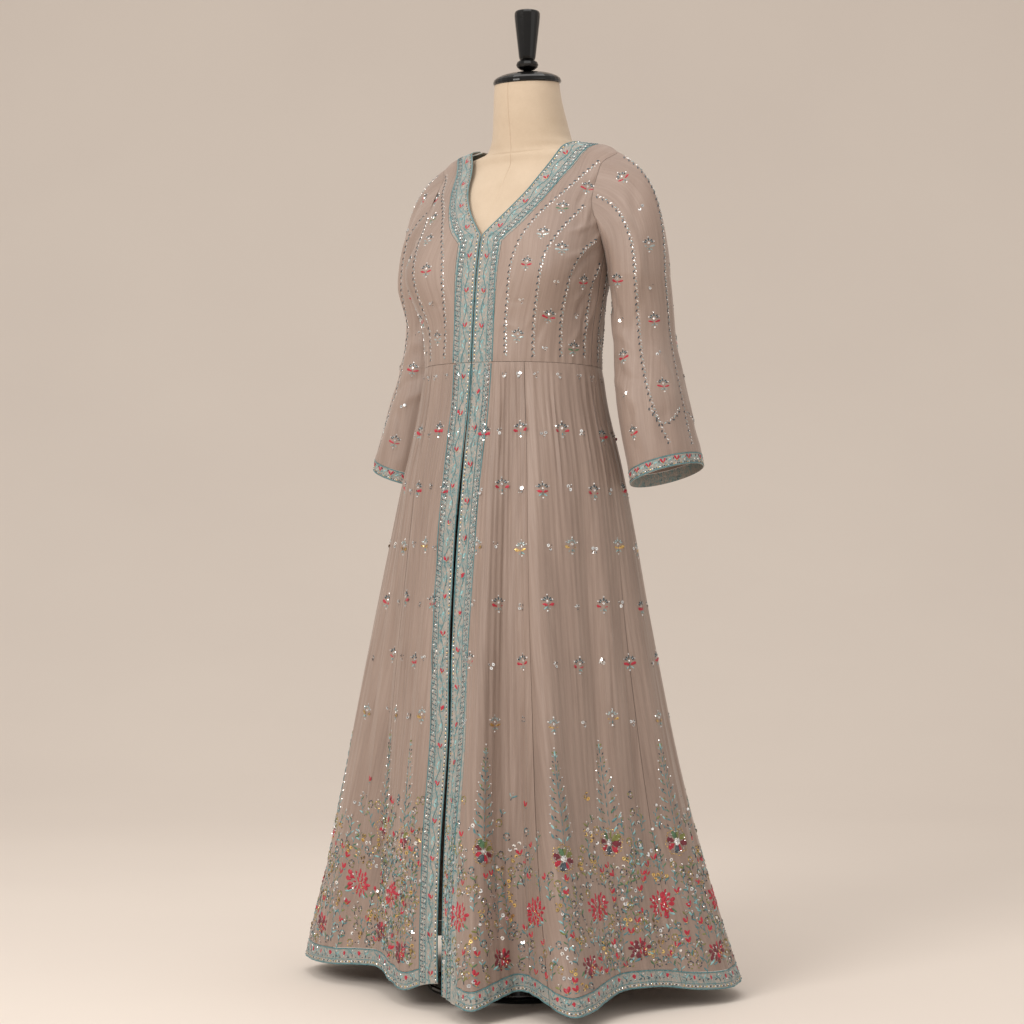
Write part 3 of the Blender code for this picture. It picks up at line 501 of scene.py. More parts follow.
def cloth_shell(name, grid, material, outward, ring=False, thickness=CLOTH):
    """A closed thin shell whose outer face is the grid; UVs run in metres along the cloth."""
    rows, columns = grid.shape[:2]
    normal = grid_normals(grid, ring) * outward
    inner = grid - normal * thickness
    points = np.concatenate((grid.reshape(-1, 3), inner.reshape(-1, 3)))
    across = np.linalg.norm(np.diff(grid, axis=1, append=grid[:, :1]), axis=2)
    up = np.linalg.norm(np.diff(grid, axis=0), axis=2)
    u = np.concatenate((np.zeros((rows, 1)), np.cumsum(across, axis=1)), axis=1)
    u = u - u[:, (columns // 2):(columns // 2 + 1)]
    v = np.concatenate((np.zeros((1, columns)), np.cumsum(up, axis=0)))
    v = np.concatenate((v, v[:, :1]), axis=1)
    last = columns if ring else columns - 1
    i, j = np.meshgrid(np.arange(rows - 1), np.arange(last), indexing="ij")
    i, j = i.ravel(), j.ravel()
    k = (j + 1) % columns

    def quads(corners, offset, flip):
        faces = np.stack([r * columns + c + offset for r, c in corners], axis=1)
        pairs = zip(corners, (j, j + 1, j + 1, j))
        uv = np.stack([np.stack((u[r, d], v[r, d]), axis=1) for (r, _), d in pairs], axis=1)
        return (faces[:, ::-1], uv[:, ::-1]) if flip else (faces, uv)

    corners = ((i, j), (i, k), (i + 1, k), (i + 1, j))
    count = rows * columns
    outer_faces, outer_uv = quads(corners, 0, outward < 0)
    inner_faces, inner_uv = quads(corners, count, outward > 0)
    rims = []
    rim_uv = []
    edges = [((r, c), (r, (c + 1) % columns)) for r in (0, rows - 1) for c in range(last)]
    if not ring:
        edges += [((r, c), (r + 1, c)) for c in (0, columns - 1) for r in range(rows - 1)]
    for a, b in edges:
        p, q = a[0] * columns + a[1], b[0] * columns + b[1]
        ends = {p: a, q: b}
        first_way = (a[0] == b[0] and a[0] == 0) or (a[0] != b[0] and a[1] == columns - 1)
        if first_way != (outward > 0):
            p, q = q, p
        loop = (q, p, p + count, q + count)
        rims.append(loop)
        rim_uv.append([(u[ends[x % count]], v[ends[x % count]]) for x in loop])
    faces = np.concatenate((outer_faces, inner_faces, np.array(rims)))
    uv = np.concatenate((outer_uv, inner_uv, np.array(rim_uv)))
    return new_mesh_object(name, points.tolist(), faces.tolist(), [material], uv.reshape(-1, 2))


def cloth_piece(name, node, grid, material, outward, ring=False, thickness=CLOTH):
    piece = cloth_shell(name, grid, material, outward, ring, thickness)
    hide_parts(node)
    return piece


# ---- materials ---------------------------------------------------------------------------------
class Nodes:
    """A short way to write a material's node tree."""

    def __init__(self, name):
        self.material = bpy.data.materials.new(name)
        self.material.use_nodes = True
        self.tree = self.material.node_tree
        self.shader = self.tree.nodes["Principled BSDF"]

    def add(self, kind, settings=(), **inputs):
        node = self.tree.nodes.new(kind)
        for key, value in dict(settings).items():
            setattr(node, key, value)
        for key, value in inputs.items():
            socket = node.inputs[int(key[1:])] if key[0] == "i" and key[1:].isdigit() else \
                node.inputs[key.replace("_", " ")]
            if isinstance(value, bpy.types.NodeSocket):
                self.tree.links.new(value, socket)
            else:
                socket.default_value = value
        return node

    def link(self, value, socket):
        self.tree.links.new(value, self.shader.inputs[socket])

    def set(self, **values):
        for key, value in values.items():
            self.shader.inputs[key.replace("_", " ")].default_value = value

    def stretched(self, source, x, y, z=1.0):
        return self.add("ShaderNodeMapping", Vector=source, Scale=(x, y, z)).outputs[0]

    def noise(self, vector, scale, detail=3.0, roughness=0.55, distortion=0.0):
        return self.add("ShaderNodeTexNoise", Vector=vector, Scale=scale, Detail=detail,
                        Roughness=roughness, Distortion=distortion).outputs[0]

    def maths(self, operation, a, b=0.0):
        return self.add("ShaderNodeMath", {"operation": operation}, i0=a, i1=b).outputs[0]

    def ramp(self, factor, stops):
        node = self.add("ShaderNodeValToRGB", Fac=factor)
        elements = node.color_ramp.elements
        while len(elements) < len(stops):
            elements.new(0.5)
        for element, (place, colour) in zip(elements, stops):
            element.position = place
            element.color = (*colour, 1.0)
        return node.outputs[0]

    def bump(self, height, distance, strength=1.0, before=None):
        inputs = {"Height": height, "Distance": distance, "Strength": strength}
        if before is not None:
            inputs["Normal"] = before
        return self.add("ShaderNodeBump", **inputs).outputs[0]


def silk_material(name, dark, middle, light):
    """Silk tissue: a fine warp and weft, a lengthwise crinkling and a soft low sheen. Its colour also
    carries painted shade and highlight: the hollows of the crinkling are painted darker and its crests
    lighter, and fine lengthwise streaks painted darker and lighter stand in for the shade of folds.
    """
    n = Nodes(name)
    uv = n.add("ShaderNodeUVMap", {"uv_map": "cloth"}).outputs[0]
    broad = n.noise(n.stretched(uv, 9, 2.2), 1.0, 4.0)
    streak_shade_and_gloss = n.noise(n.stretched(uv, 420, 9), 1.0, 3.0, 0.6)
    crinkle_relief_and_shade = n.noise(n.stretched(uv, 150, 6), 1.0, 4.0, 0.6, 0.4)
    # Base colour: broad lengthwise patches shift the tone, and the streaks and the crinkling add painted
    # shade and highlight that follow the folds and the crinkled relief.
    tone = n.maths("ADD", n.maths("MULTIPLY", broad, 0.55), n.maths("MULTIPLY", streak_shade_and_gloss, 0.20))
    tone = n.maths("ADD", tone, n.maths("MULTIPLY", crinkle_relief_and_shade, 0.25))
    n.link(n.ramp(tone, ((0.32, dark), (0.50, middle), (0.68, light))), "Base Color")
    warp = n.add("ShaderNodeTexWave", {"bands_direction": "X"}, Vector=uv, Scale=290.0).outputs[1]
    weft = n.add("ShaderNodeTexWave", {"bands_direction": "Y"}, Vector=uv, Scale=290.0).outputs[1]
    weave = n.maths("MAXIMUM", warp, weft)
    folds = n.noise(n.stretched(uv, 46, 3.4), 1.0, 3.0, 0.5, 0.6)
    height = n.bump(folds, 0.0042, 0.55)
    height = n.bump(crinkle_relief_and_shade, 0.0010, 0.55, height)
    height = n.bump(weave, 0.00012, 0.5, height)
    n.tree.links.new(height, n.shader.inputs["Normal"])
    # The same streaks also vary the roughness, a real change of gloss.
    rough = n.add("ShaderNodeMapRange", Value=streak_shade_and_gloss, To_Min=0.40, To_Max=0.58).outputs[0]
    n.link(rough, "Roughness")
    n.set(Sheen_Weight=0.35, Sheen_Roughness=0.40, Sheen_Tint=(1.0, 0.93, 0.88, 1.0))
    n.set(Specular_IOR_Level=0.42)
    return n.material


def worked_material(name):
    """The ground of an embroidered strip: close teal stitches over the silk, in short runs."""
    n = Nodes(name)
    uv = n.add("ShaderNodeUVMap", {"uv_map": "cloth"}).outputs[0]
    stitch = n.add("ShaderNodeTexVoronoi", {"feature": "F1"}, Vector=n.stretched(uv, 620, 330),
                   Scale=1.0, Randomness=0.9)
    blot = n.noise(uv, 95.0, 3.0, 0.6)
    mixed = n.maths("ADD", n.maths("MULTIPLY", stitch.outputs[1], 0.40), n.maths("MULTIPLY", blot, 0.75))
    colour = n.ramp(mixed, ((0.28, (0.060, 0.110, 0.115)), (0.46, (0.205, 0.300, 0.300)),
                            (0.60, (0.330, 0.300, 0.265)), (0.78, (0.430, 0.370, 0.320))))
    n.link(colour, "Base Color")
    height = n.bump(stitch.outputs[0], 0.0009, 0.9)
    n.tree.links.new(height, n.shader.inputs["Normal"])
    n.link(n.add("ShaderNodeMapRange", Value=blot, To_Min=0.42, To_Max=0.70).outputs[0], "Roughness")
    n.set(Sheen_Weight=0.2, Sheen_Roughness=0.4)
    return n.material


def thread_material(name, dark, light, roughness=0.42, sheen=0.35):
    """Satin-stitch thread: fine parallel strands that catch the light. Their raised parts are painted
    lighter and the gaps darker, a painted highlight and shade over a little random tone.
    """
    n = Nodes(name)
    place = n.add("ShaderNodeTexCoord").outputs[3]
    strand_relief_and_glint = n.noise(n.stretched(place, 900, 900, 2600), 1.0, 2.0, 0.5)
    shade = n.noise(place, 210.0, 2.0, 0.5)
    # Base colour: the relief of the strands is painted as light and shade, a painted highlight on the raised
    # strands, mixed with a random tone.
    tone = n.maths("ADD", n.maths("MULTIPLY", strand_relief_and_glint, 0.55), n.maths("MULTIPLY", shade, 0.45))
    n.link(n.ramp(tone, ((0.36, dark), (0.64, light))), "Base Color")
    height = n.bump(strand_relief_and_glint, 0.00025, 0.7)
    n.tree.links.new(height, n.shader.inputs["Normal"])
    n.set(Roughness=roughness, Sheen_Weight=sheen, Sheen_Roughness=0.35)
    return n.material


def bead_material(name, dark, light, roughness, metallic=0.0, coat=0.0):
    """Glass or metal beads: each a slightly different tone, glossy."""
    n = Nodes(name)
    place = n.add("ShaderNodeTexCoord").outputs[3]
    shade = n.noise(place, 330.0, 2.0, 0.6)
    n.link(n.ramp(shade, ((0.34, dark), (0.66, light))), "Base Color")
    n.link(n.add("ShaderNodeMapRange", Value=shade, To_Min=roughness, To_Max=roughness + 0.12).outputs[0],
           "Roughness")
    n.set(Metallic=metallic, Coat_Weight=coat, Coat_Roughness=0.06)
    return n.material


MATERIALS = {
    "silk": silk_material("taupe_silk", (0.208, 0.148, 0.120), (0.300, 0.221, 0.182), (0.392, 0.302, 0.256)),
    "worked": worked_material("embroidered_ground"),
    "teal": thread_material("teal_thread", (0.035, 0.120, 0.140), (0.115, 0.275, 0.295)),
    "aqua": thread_material("pale_teal_thread", (0.130, 0.320, 0.340), (0.330, 0.560, 0.560)),
    "crimson": thread_material("crimson_thread", (0.280, 0.006, 0.022), (0.560, 0.022, 0.050)),
    "maroon": thread_material("maroon_thread", (0.085, 0.010, 0.018), (0.220, 0.020, 0.035)),
    "olive": thread_material("olive_thread", (0.085, 0.095, 0.020), (0.270, 0.270, 0.075)),
    "green": thread_material("green_thread", (0.030, 0.090, 0.045), (0.110, 0.210, 0.100)),
    "gold": bead_material("gold_bead", (0.42, 0.25, 0.07), (0.80, 0.58, 0.25), 0.22, 1.0),
    "silver": bead_material("crystal_bead", (0.50, 0.50, 0.50), (0.93, 0.92, 0.90), 0.08, 0.75, 0.6),
    "navy": bead_material("dark_bead", (0.012, 0.020, 0.032), (0.055, 0.085, 0.105), 0.15, 0.1, 0.6),
    "pearl": bead_material("grey_bead", (0.200, 0.270, 0.275), (0.480, 0.530, 0.520), 0.20, 0.35, 0.4),
}


# ---- cloth pieces ------------------------------------------------------------------------------
def bodice_grid(low_edge, high_edge, columns, rows, low_gap, high_gap, top_gap, bottom_gap):
    """A bodice piece between two edge functions, row by row up from the waist."""
    steps = np.linspace(0, 2, rows + 1)
    steps[0] += bottom_gap / 0.2
    steps[-1] -= top_gap / 0.16
    low_angle, low_z = low_edge(steps)
    high_angle, high_z = high_edge(steps)
    ends = np.linalg.norm(body_base(high_angle, high_z) - body_base(low_angle, low_z), axis=1)
    s = np.linspace(0, 1, columns + 1)[None, :]
    s = mix((low_gap / ends)[:, None], (1 - high_gap / ends)[:, None], s)
    angle = mix(low_angle[:, None], high_angle[:, None], s)
    z = mix(low_z[:, None], high_z[:, None], s)
    level = waist_z(angle) - mix(waist_z(low_angle)[:, None], waist_z(high_angle)[:, None], s)
    z = z + level * np.clip(1 - steps[:, None], 0, 1)
    return body(angle, z)


def mirror_for(grid, side):
    return grid * np.array((side, 1.0, 1.0))


def build_bodice():
    for name, side in SIDES:
        def inner(t):
            return strip_edge(t, True)

        def outer(t):
            return strip_edge(t, False)

        def outside(t):
            return side_edge(t, ARMHOLE_FRONT)
        strip = mirror_for(bodice_grid(inner, outer, 12, 100, 0.0002, SEAM, SEAM, SEAM), side)
        cloth_piece(f"front_strip_{name}_cloth", f"front_strip_{name}", strip, MATERIALS["worked"],
                    side)
        front = mirror_for(bodice_grid(outer, outside, 62, 100, SEAM, SEAM, SEAM, SEAM), side)
        cloth_piece(f"bodice_front_{name}_cloth", f"bodice_front_{name}", front, MATERIALS["silk"],
                    side)


def back_top(places, edge):
    """Angle and height of the back's upper seam, or of the neck edge above its strip."""
    folded = np.where(places > 2, 4 - places, places)
    corner = BACK_NECK[0][3]
    z_low = mix(SHOULDER_TIP_Z, corner, np.clip(folded, 0, 1))
    rows = numbered(BACK_NECK)
    step = np.clip(folded - 1, 0, 1) * (len(BACK_NECK) - 1)
    z_high = smooth(rows, 2 if edge else 4, step)
    x = smooth(rows, 1 if edge else 3, step)
    on_neck = folded > 1
    angle = np.where(on_neck, math.pi - angle_at(x, z_high), math.pi / 2)
    angle = np.where(places > 2, 2 * math.pi - angle, angle)
    return angle, np.where(on_neck | ((folded == 1) & edge), z_high, z_low)


# The back's columns turn to the shoulder seam only near the top.
SHOULDER_LEAN = 6


def build_back():
    neck = np.linspace(1, 3, 61)
    places = np.concatenate((np.linspace(0.004, 1, 25)[:-1], neck, np.linspace(3, 3.996, 25)[1:]))
    steps = np.linspace(SEAM / 0.2, 2 - SEAM / 0.16, 96)[:, None]
    side_angle, side_z = side_edge(steps, ARMHOLE_BACK)
    rise = steps / 2
    lean = rise**SHOULDER_LEAN
    s = places[None, :] / 4
    top_angle, top_z = back_top(places[None, :], False)
    low_angle = math.pi / 2 + math.pi * s
    edge_angle = side_angle + (2 * math.pi - 2 * side_angle) * s
    angle = (1 - lean) * low_angle + lean * top_angle + edge_angle - low_angle
    z = (1 - rise) * waist_z(low_angle) + rise * top_z + side_z
    z = z - (1 - rise) * waist_z(math.pi / 2) - rise * SHOULDER_TIP_Z
    cloth_piece("bodice_back_cloth", "bodice_back", body(angle, z), MATERIALS["silk"], 1)
    share = np.linspace(0.01, 1.0, 9)[:, None]
    low_angle, low_z = back_top(neck[None, :], False)
    high_angle, high_z = back_top(neck[None, :], True)
    strip = body(mix(low_angle, high_angle, share), mix(low_z, high_z, share))
    cloth_piece("back_neck_strip_cloth", "back_neck_strip", strip, MATERIALS["worked"], 1)


def build_sleeves():
    turns = np.linspace(0, 2 * math.pi, 79)[:-1][None, :]
    for name, side in SIDES:
        along = np.linspace(0.0, 1.0, 120)[:, None]
        grid = sleeve_surface(side)(turns, along)
        cloth_piece(f"sleeve_{name}_cloth", f"sleeve_{name}", grid, MATERIALS["silk"], side,
                    ring=True)
        drop = np.linspace(0.0004, CUFF_BAND, 8)[:, None]
        cuff = cuff_surface(side)(turns, drop)
        cloth_piece(f"cuff_strip_{name}_cloth", f"cuff_strip_{name}", cuff, MATERIALS["worked"],
                    side, ring=True, thickness=BAND_CLOTH)


def skirt_panel(bounds, start, end, columns, rows):
    fraction = np.linspace(start + SEAM / SKIRT_LENGTH, end - SEAM / SKIRT_LENGTH, rows)
    first, last = bounds(fraction)
    width = np.linalg.norm(skirt_base(last, fraction) - skirt_base(first, fraction), axis=1)
    s = np.linspace(0, 1, columns + 1)[None, :]
    s = mix((SEAM / width)[:, None], (1 - SEAM / width)[:, None], s)
    angle = mix(first[:, None], last[:, None], s)
    return skirt(angle, fraction[:, None])


def build_skirt():
    for name, side in SIDES:
        def bounds(fraction, side=side):
            return front_edge_angle(fraction, side), strip_seam_angle(fraction, side)
        strip = skirt_panel(bounds, 0.0, 1.0, 12, 220)
        cloth_piece(f"skirt_strip_{name}_cloth", f"skirt_strip_{name}", strip, MATERIALS["worked"],
                    -side)
    for index, name in enumerate(KALI_NAMES):
        def bounds(fraction, index=index):
            return kali_bounds(index, fraction)
        panel = skirt_panel(bounds, 0.0, HEM_START, 56, 106)
        cloth_piece(f"kali_{name}_cloth", f"kali_{name}", panel, MATERIALS["silk"], -1)
        hem = skirt_panel(bounds, HEM_START, 1.0, 56, 7)
        cloth_piece(f"hem_strip_{name}_cloth", f"hem_strip_{name}", hem, MATERIALS["worked"], -1,
                    thickness=BAND_CLOTH)


build_bodice()
build_back()
build_sleeves()
build_skirt()


# ---- embroidery: stitches and beads as small shapes laid on a surface ---------------------------
def dome(sides, rings, top):
    """A closed low dome: rings of (radius, height) from the cloth up, then a top point."""
    points = []
    for radius, height in rings:
        for i in range(sides):
            turn = 2 * math.pi * i / sides
            points.append((radius * math.cos(turn), radius * math.sin(turn), height))
    faces = [tuple(reversed(range(sides)))]
    for r in range(len(rings) - 1):
        for i in range(sides):
            k = (i + 1) % sides
            faces.append((r * sides + i, r * sides + k, (r + 1) * sides + k, (r + 1) * sides + i))
    last = (len(rings) - 1) * sides
    if top is None:
        faces.append(tuple(range(last, last + sides)))
    else:
        points.append((0.0, 0.0, top))
        faces += [(last + i, last + (i + 1) % sides, len(points) - 1) for i in range(sides)]
    return np.array(points), faces


def blade(outline, rib, rib_height):
    """A closed leaf: an outline on the cloth from base to tip, raised along its midrib."""
    left = [(x, y, 0.0) for x, y in outline]
    right = [(x, -y, 0.0) for x, y in outline]
    points = [(-1.0, 0.0, 0.0)] + left + [(1.0, 0.0, 0.0)] + right[::-1]
    rim = len(points)
    points += [(x, 0.0, rib_height) for x in rib]
    count = len(outline)
    faces = [tuple(range(rim))]
    for half in (list(range(count + 2)), [count + 1 + i for i in range(count + 1)] + [0]):
        forward = half[0] == 0
        spine = [rim + i for i in range(len(rib))]
        spine = spine if forward else spine[::-1]
        here = 0
        for i in range(len(half) - 1):
            ahead = min(len(spine) - 1, round((i + 1) * (len(spine) - 1) / (len(half) - 2)))
            faces.append((half[i + 1], half[i], spine[here]))
            if ahead != here:
                faces.append((half[i + 1], spine[here], spine[ahead]))
                here = ahead
    return np.array(points), faces


SHAPES = {
    "bead": dome(5, ((1.0, 0.0), (0.86, 0.55)), 0.95),
    "crystal": dome(6, ((1.0, 0.0), (0.58, 0.72)), None),
    "sequin": dome(6, ((1.0, 0.06), (1.0, 0.16), (0.30, 0.05)), None),
    "leaf": blade(((-0.45, 0.62), (0.25, 0.66)), (-0.5, 0.35), 0.55),
    "petal": blade(((-0.55, 0.55), (0.20, 0.95), (0.75, 0.62)), (-0.5, 0.1, 0.6), 0.50),
}
CORD_SECTION = ((-1.0, 0.0), (-0.72, 0.75), (0.0, 1.05), (0.72, 0.75), (1.0, 0.0))
random = np.random.default_rng(20)


def pointing(degrees):
    """How far across and how far up a turn of so many degrees points."""
    turn = math.radians(degrees)
    return math.cos(turn), math.sin(turn)


def mirrored(shape, kind, x, y, turn, size):
    """One stitch of a motif and its mirror image across the motif's upright."""
    return [(shape, kind, x, y, turn, size), (shape, kind, -x, y, 180 - turn, size)]


class Work:
    """Gathers the stitches on one surface and makes one object of them.

    surface(a, b) gives points; up is the sign of b that runs up the cloth and out is the sign
    that turns the cross product of the two directions outward. Motifs are drawn in metres, x to
    the right and y up as seen from outside, round an anchor (a, b).
    """

    def __init__(self, name, surface, up, out, steps=(0.002, 0.002), slot="strip"):
        self.name, self.surface, self.up, self.out, self.steps = name, surface, up, out, steps
        self.slot = slot
        self.items = {shape: [] for shape in SHAPES}
        self.cords = []

    def frame(self, a, b):
        ha, hb = self.steps
        point = self.surface(a, b)
        pa = (self.surface(a + ha, b) - self.surface(a - ha, b)) / (2 * ha)
        pb = (self.surface(a, b + hb) - self.surface(a, b - hb)) / (2 * hb)
        normal = np.cross(pa, pb) * self.out
        normal /= np.maximum(np.linalg.norm(normal, axis=-1, keepdims=True), 1e-12)
        upward = pb * self.up
        upward /= np.maximum(np.linalg.norm(upward, axis=-1, keepdims=True), 1e-12)
        right = np.cross(upward, normal)
        return point, pa, pb, normal, upward, right

    def shifted(self, a, b, x, y):
        """The surface parameters of points x and y metres from the anchors a, b."""
        _, pa, pb, _, upward, right = self.frame(a, b)
        offset = right * x[..., None] + upward * y[..., None]
        aa, ab, bb = (pa * pa).sum(-1), (pa * pb).sum(-1), (pb * pb).sum(-1)
        ra, rb = (offset * pa).sum(-1), (offset * pb).sum(-1)
        det = np.maximum(aa * bb - ab * ab, 1e-18)
        return a + (bb * ra - ab * rb) / det, b + (aa * rb - ab * ra) / det

    def add(self, shape, kind, anchor, x, y, turn, size):
        """One stitch: its shape, its thread or bead, its turn in degrees and half-sizes."""
        tilt = random.normal(0.0, SEQUIN_TILT, 2) if shape == "sequin" else (0.0, 0.0)
        self.items[shape].append((*anchor, x, y, turn, *size, kind, *tilt))

    def motif(self, stitches, anchor, scale=1.0, turn=0.0, flip=1):
        c, s = pointing(turn)
        for shape, kind, x, y, angle, size in stitches:
            x, y = x * flip * scale, y * scale
            angle = angle if flip > 0 else 180 - angle
            self.add(shape, kind, anchor, x * c - y * s, x * s + y * c, angle + turn,
                     tuple(v * scale for v in size))

    def cord(self, kind, a, b, width, height):
        self.cords.append((kind, np.asarray(a, float), np.asarray(b, float), width, height))

    def build(self):
        kinds = []
        points, faces, marks = [], [], []
        total = 0

        def slot_of(kind):
            if kind not in kinds:
                kinds.append(kind)
            return kinds.index(kind)
        for shape, rows in self.items.items():
            if not rows:
                continue
            values = np.array([row[:8] for row in rows], dtype=float)
            a, b, x, y, turn, length, width, height = values.T
            tilt = np.array([row[9:11] for row in rows], dtype=float)
            a, b = self.shifted(a, b, x, y)
            point, _, _, normal, upward, right = self.frame(a, b)
            turn = np.radians(turn)[:, None]
            along = right * np.cos(turn) + upward * np.sin(turn)
            aside = np.cross(normal, along)
            form, form_faces = SHAPES[shape]
            fx, fy, fz = form[:, 0][None], form[:, 1][None], form[:, 2][None]
            fz = fz * height[:, None]
            fx, fy = fx * length[:, None], fy * width[:, None]
            fz = fz + np.abs(tilt[:, :1]) * length[:, None] + tilt[:, :1] * fx + tilt[:, 1:] * fy
            made = (point[:, None] + along[:, None] * fx[..., None] + aside[:, None] * fy[..., None]
                    + normal[:, None] * (fz[..., None] - SINK))
            points.append(made.reshape(-1, 3))
            for index, row in enumerate(rows):
                base = total + index * len(form)
                faces += [tuple(base + i for i in face) for face in form_faces]
                marks += [slot_of(row[8])] * len(form_faces)
            total += len(rows) * len(form)
        for kind, a, b, width, height in self.cords:
            point, _, _, normal, _, _ = self.frame(a, b)
            run = np.gradient(point, axis=0)
            run /= np.maximum(np.linalg.norm(run, axis=1, keepdims=True), 1e-12)
            side = np.cross(normal, run)
            section = np.array(CORD_SECTION)
            ring = (point[:, None] + side[:, None] * (section[:, 0] * width)[None, :, None]
                    + normal[:, None] * (section[:, 1] * height - SINK)[None, :, None])
            points.append(ring.reshape(-1, 3))
            n, m = len(point), len(section)
            mark = slot_of(kind)
            for i in range(n - 1):
                for j in range(m):
                    k = (j + 1) % m
                    faces.append((total + i * m + j, total + (i + 1) * m + j,
                                  total + (i + 1) * m + k, total + i * m + k))
            faces.append(tuple(total + j for j in range(m)))
            faces.append(tuple(total + (n - 1) * m + j for j in reversed(range(m))))
            marks += [mark] * ((n - 1) * m + 2)
            total += n * m
        materials = [MATERIALS[kind] for kind in kinds]
        obj = new_mesh_object(self.name, np.concatenate(points).tolist(), faces, materials, kinds=marks,
                              sharp=STITCH_SHARP)


SINK = 0.0003              # how far the stitches' undersides sit in the cloth's face
STITCH_SHARP = 42.0        # degrees between faces above which a stitch's edge stays crisp
SEQUIN_TILT = 0.16         # spread of the sequins' lean
DROP = (0.0024, 0.0019, 0.0016)
DISC = (0.0030, 0.0030, 0.0011)


def butti(accent, crown="navy"):
    """A small sprig: a fan of bugle beads over two petals, with a drop and side leaves."""
    parts = mirrored("petal", accent, 0.0062, -0.0012, 14, (0.0062, 0.0030, 0.0016))
    parts.append(("crystal", "silver", 0.0, 0.0035, 0, (0.0027, 0.0027, 0.0018)))
    parts += mirrored("leaf", "aqua", 0.0042, -0.0070, -38, (0.0036, 0.0018, 0.0010))
    parts.append(("bead", "teal", 0.0, -0.0062, 90, (0.0026, 0.0010, 0.0010)))
    parts.append(("crystal", "silver", 0.0, -0.0112, 0, DROP))
    for i, turn in enumerate((18, 46, 90, 134, 162)):
        c, s = pointing(turn)
        parts.append(("bead", crown, 0.0072 * c, 0.0036 + 0.0066 * s, turn, (0.0030, 0.0013, 0.0014)))
        if i % 2 == 0:
            parts.append(("crystal", "silver", 0.0105 * c, 0.0036 + 0.0104 * s, 0, (0.0017, 0.0017, 0.0012)))
    for turn in (32, 68, 112, 148):
        c, s = pointing(turn)
        parts.append(("bead", "pearl", 0.0062 * c, 0.0036 + 0.0058 * s, turn, (0.0022, 0.0009, 0.0010)))
    return parts


def sequins(count, kind="silver"):
    parts = []
    for i in range(count):
        turn = 2 * math.pi * i / count + 0.6
        reach = 0.0040 if count > 1 else 0.0
        parts.append(("sequin", kind, reach * math.cos(turn), reach * math.sin(turn), 30 * i, DISC))
        parts.append(("bead", "navy", reach * math.cos(turn), reach * math.sin(turn), 0,
                      (0.0009, 0.0009, 0.0018)))
    return parts


def chain(work, a, b, pitch=0.0052):
    """Bugle beads in crossing pairs along a line of parameters."""
    a, b = np.asarray(a, float), np.asarray(b, float)
    dense = np.linspace(0, len(a) - 1, 60 * len(a))
    rows = tuple(zip(range(len(a)), a, b))
    a, b = smooth(rows, 1, dense), smooth(rows, 2, dense)
    point, _, _, _, upward, right = work.frame(a, b)
    step = np.diff(point, axis=0)
    run = np.concatenate(((0.0,), np.cumsum(np.linalg.norm(step, axis=1))))
    places = np.arange(pitch / 2, run[-1], pitch)
    heading = np.degrees(np.arctan2((np.gradient(point, axis=0) * upward).sum(1),
                                    (np.gradient(point, axis=0) * right).sum(1)))
    for i, place in enumerate(places):
        anchor = (np.interp(place, run, a), np.interp(place, run, b))
        way = np.interp(place, run, heading)
        side = 1 if i % 2 else -1
        c, s = pointing(way + 90)
        shift = 0.0013 * side
        kind = ("navy", "silver", "navy", "pearl")[i % 4]
        work.add("bead", kind, anchor, shift * c, shift * s, way + 34 * side, (0.0030, 0.0013, 0.0014))
        if i % 2 == 0:
            work.add("crystal", "silver", anchor, -2.0 * shift * c, -2.0 * shift * s, 0,
                     (0.0013, 0.0013, 0.0011))


def bud():
    """A red bud of two petals on a teal cup."""
    return (mirrored("petal", "crimson", 0.0022, 0.0012, 62, (0.0052, 0.0028, 0.0018))
            + mirrored("leaf", "teal", 0.0034, -0.0036, 20, (0.0030, 0.0014, 0.0012))
            + [("crystal", "gold", 0.0, -0.0022, 0, (0.0014, 0.0014, 0.0014))])


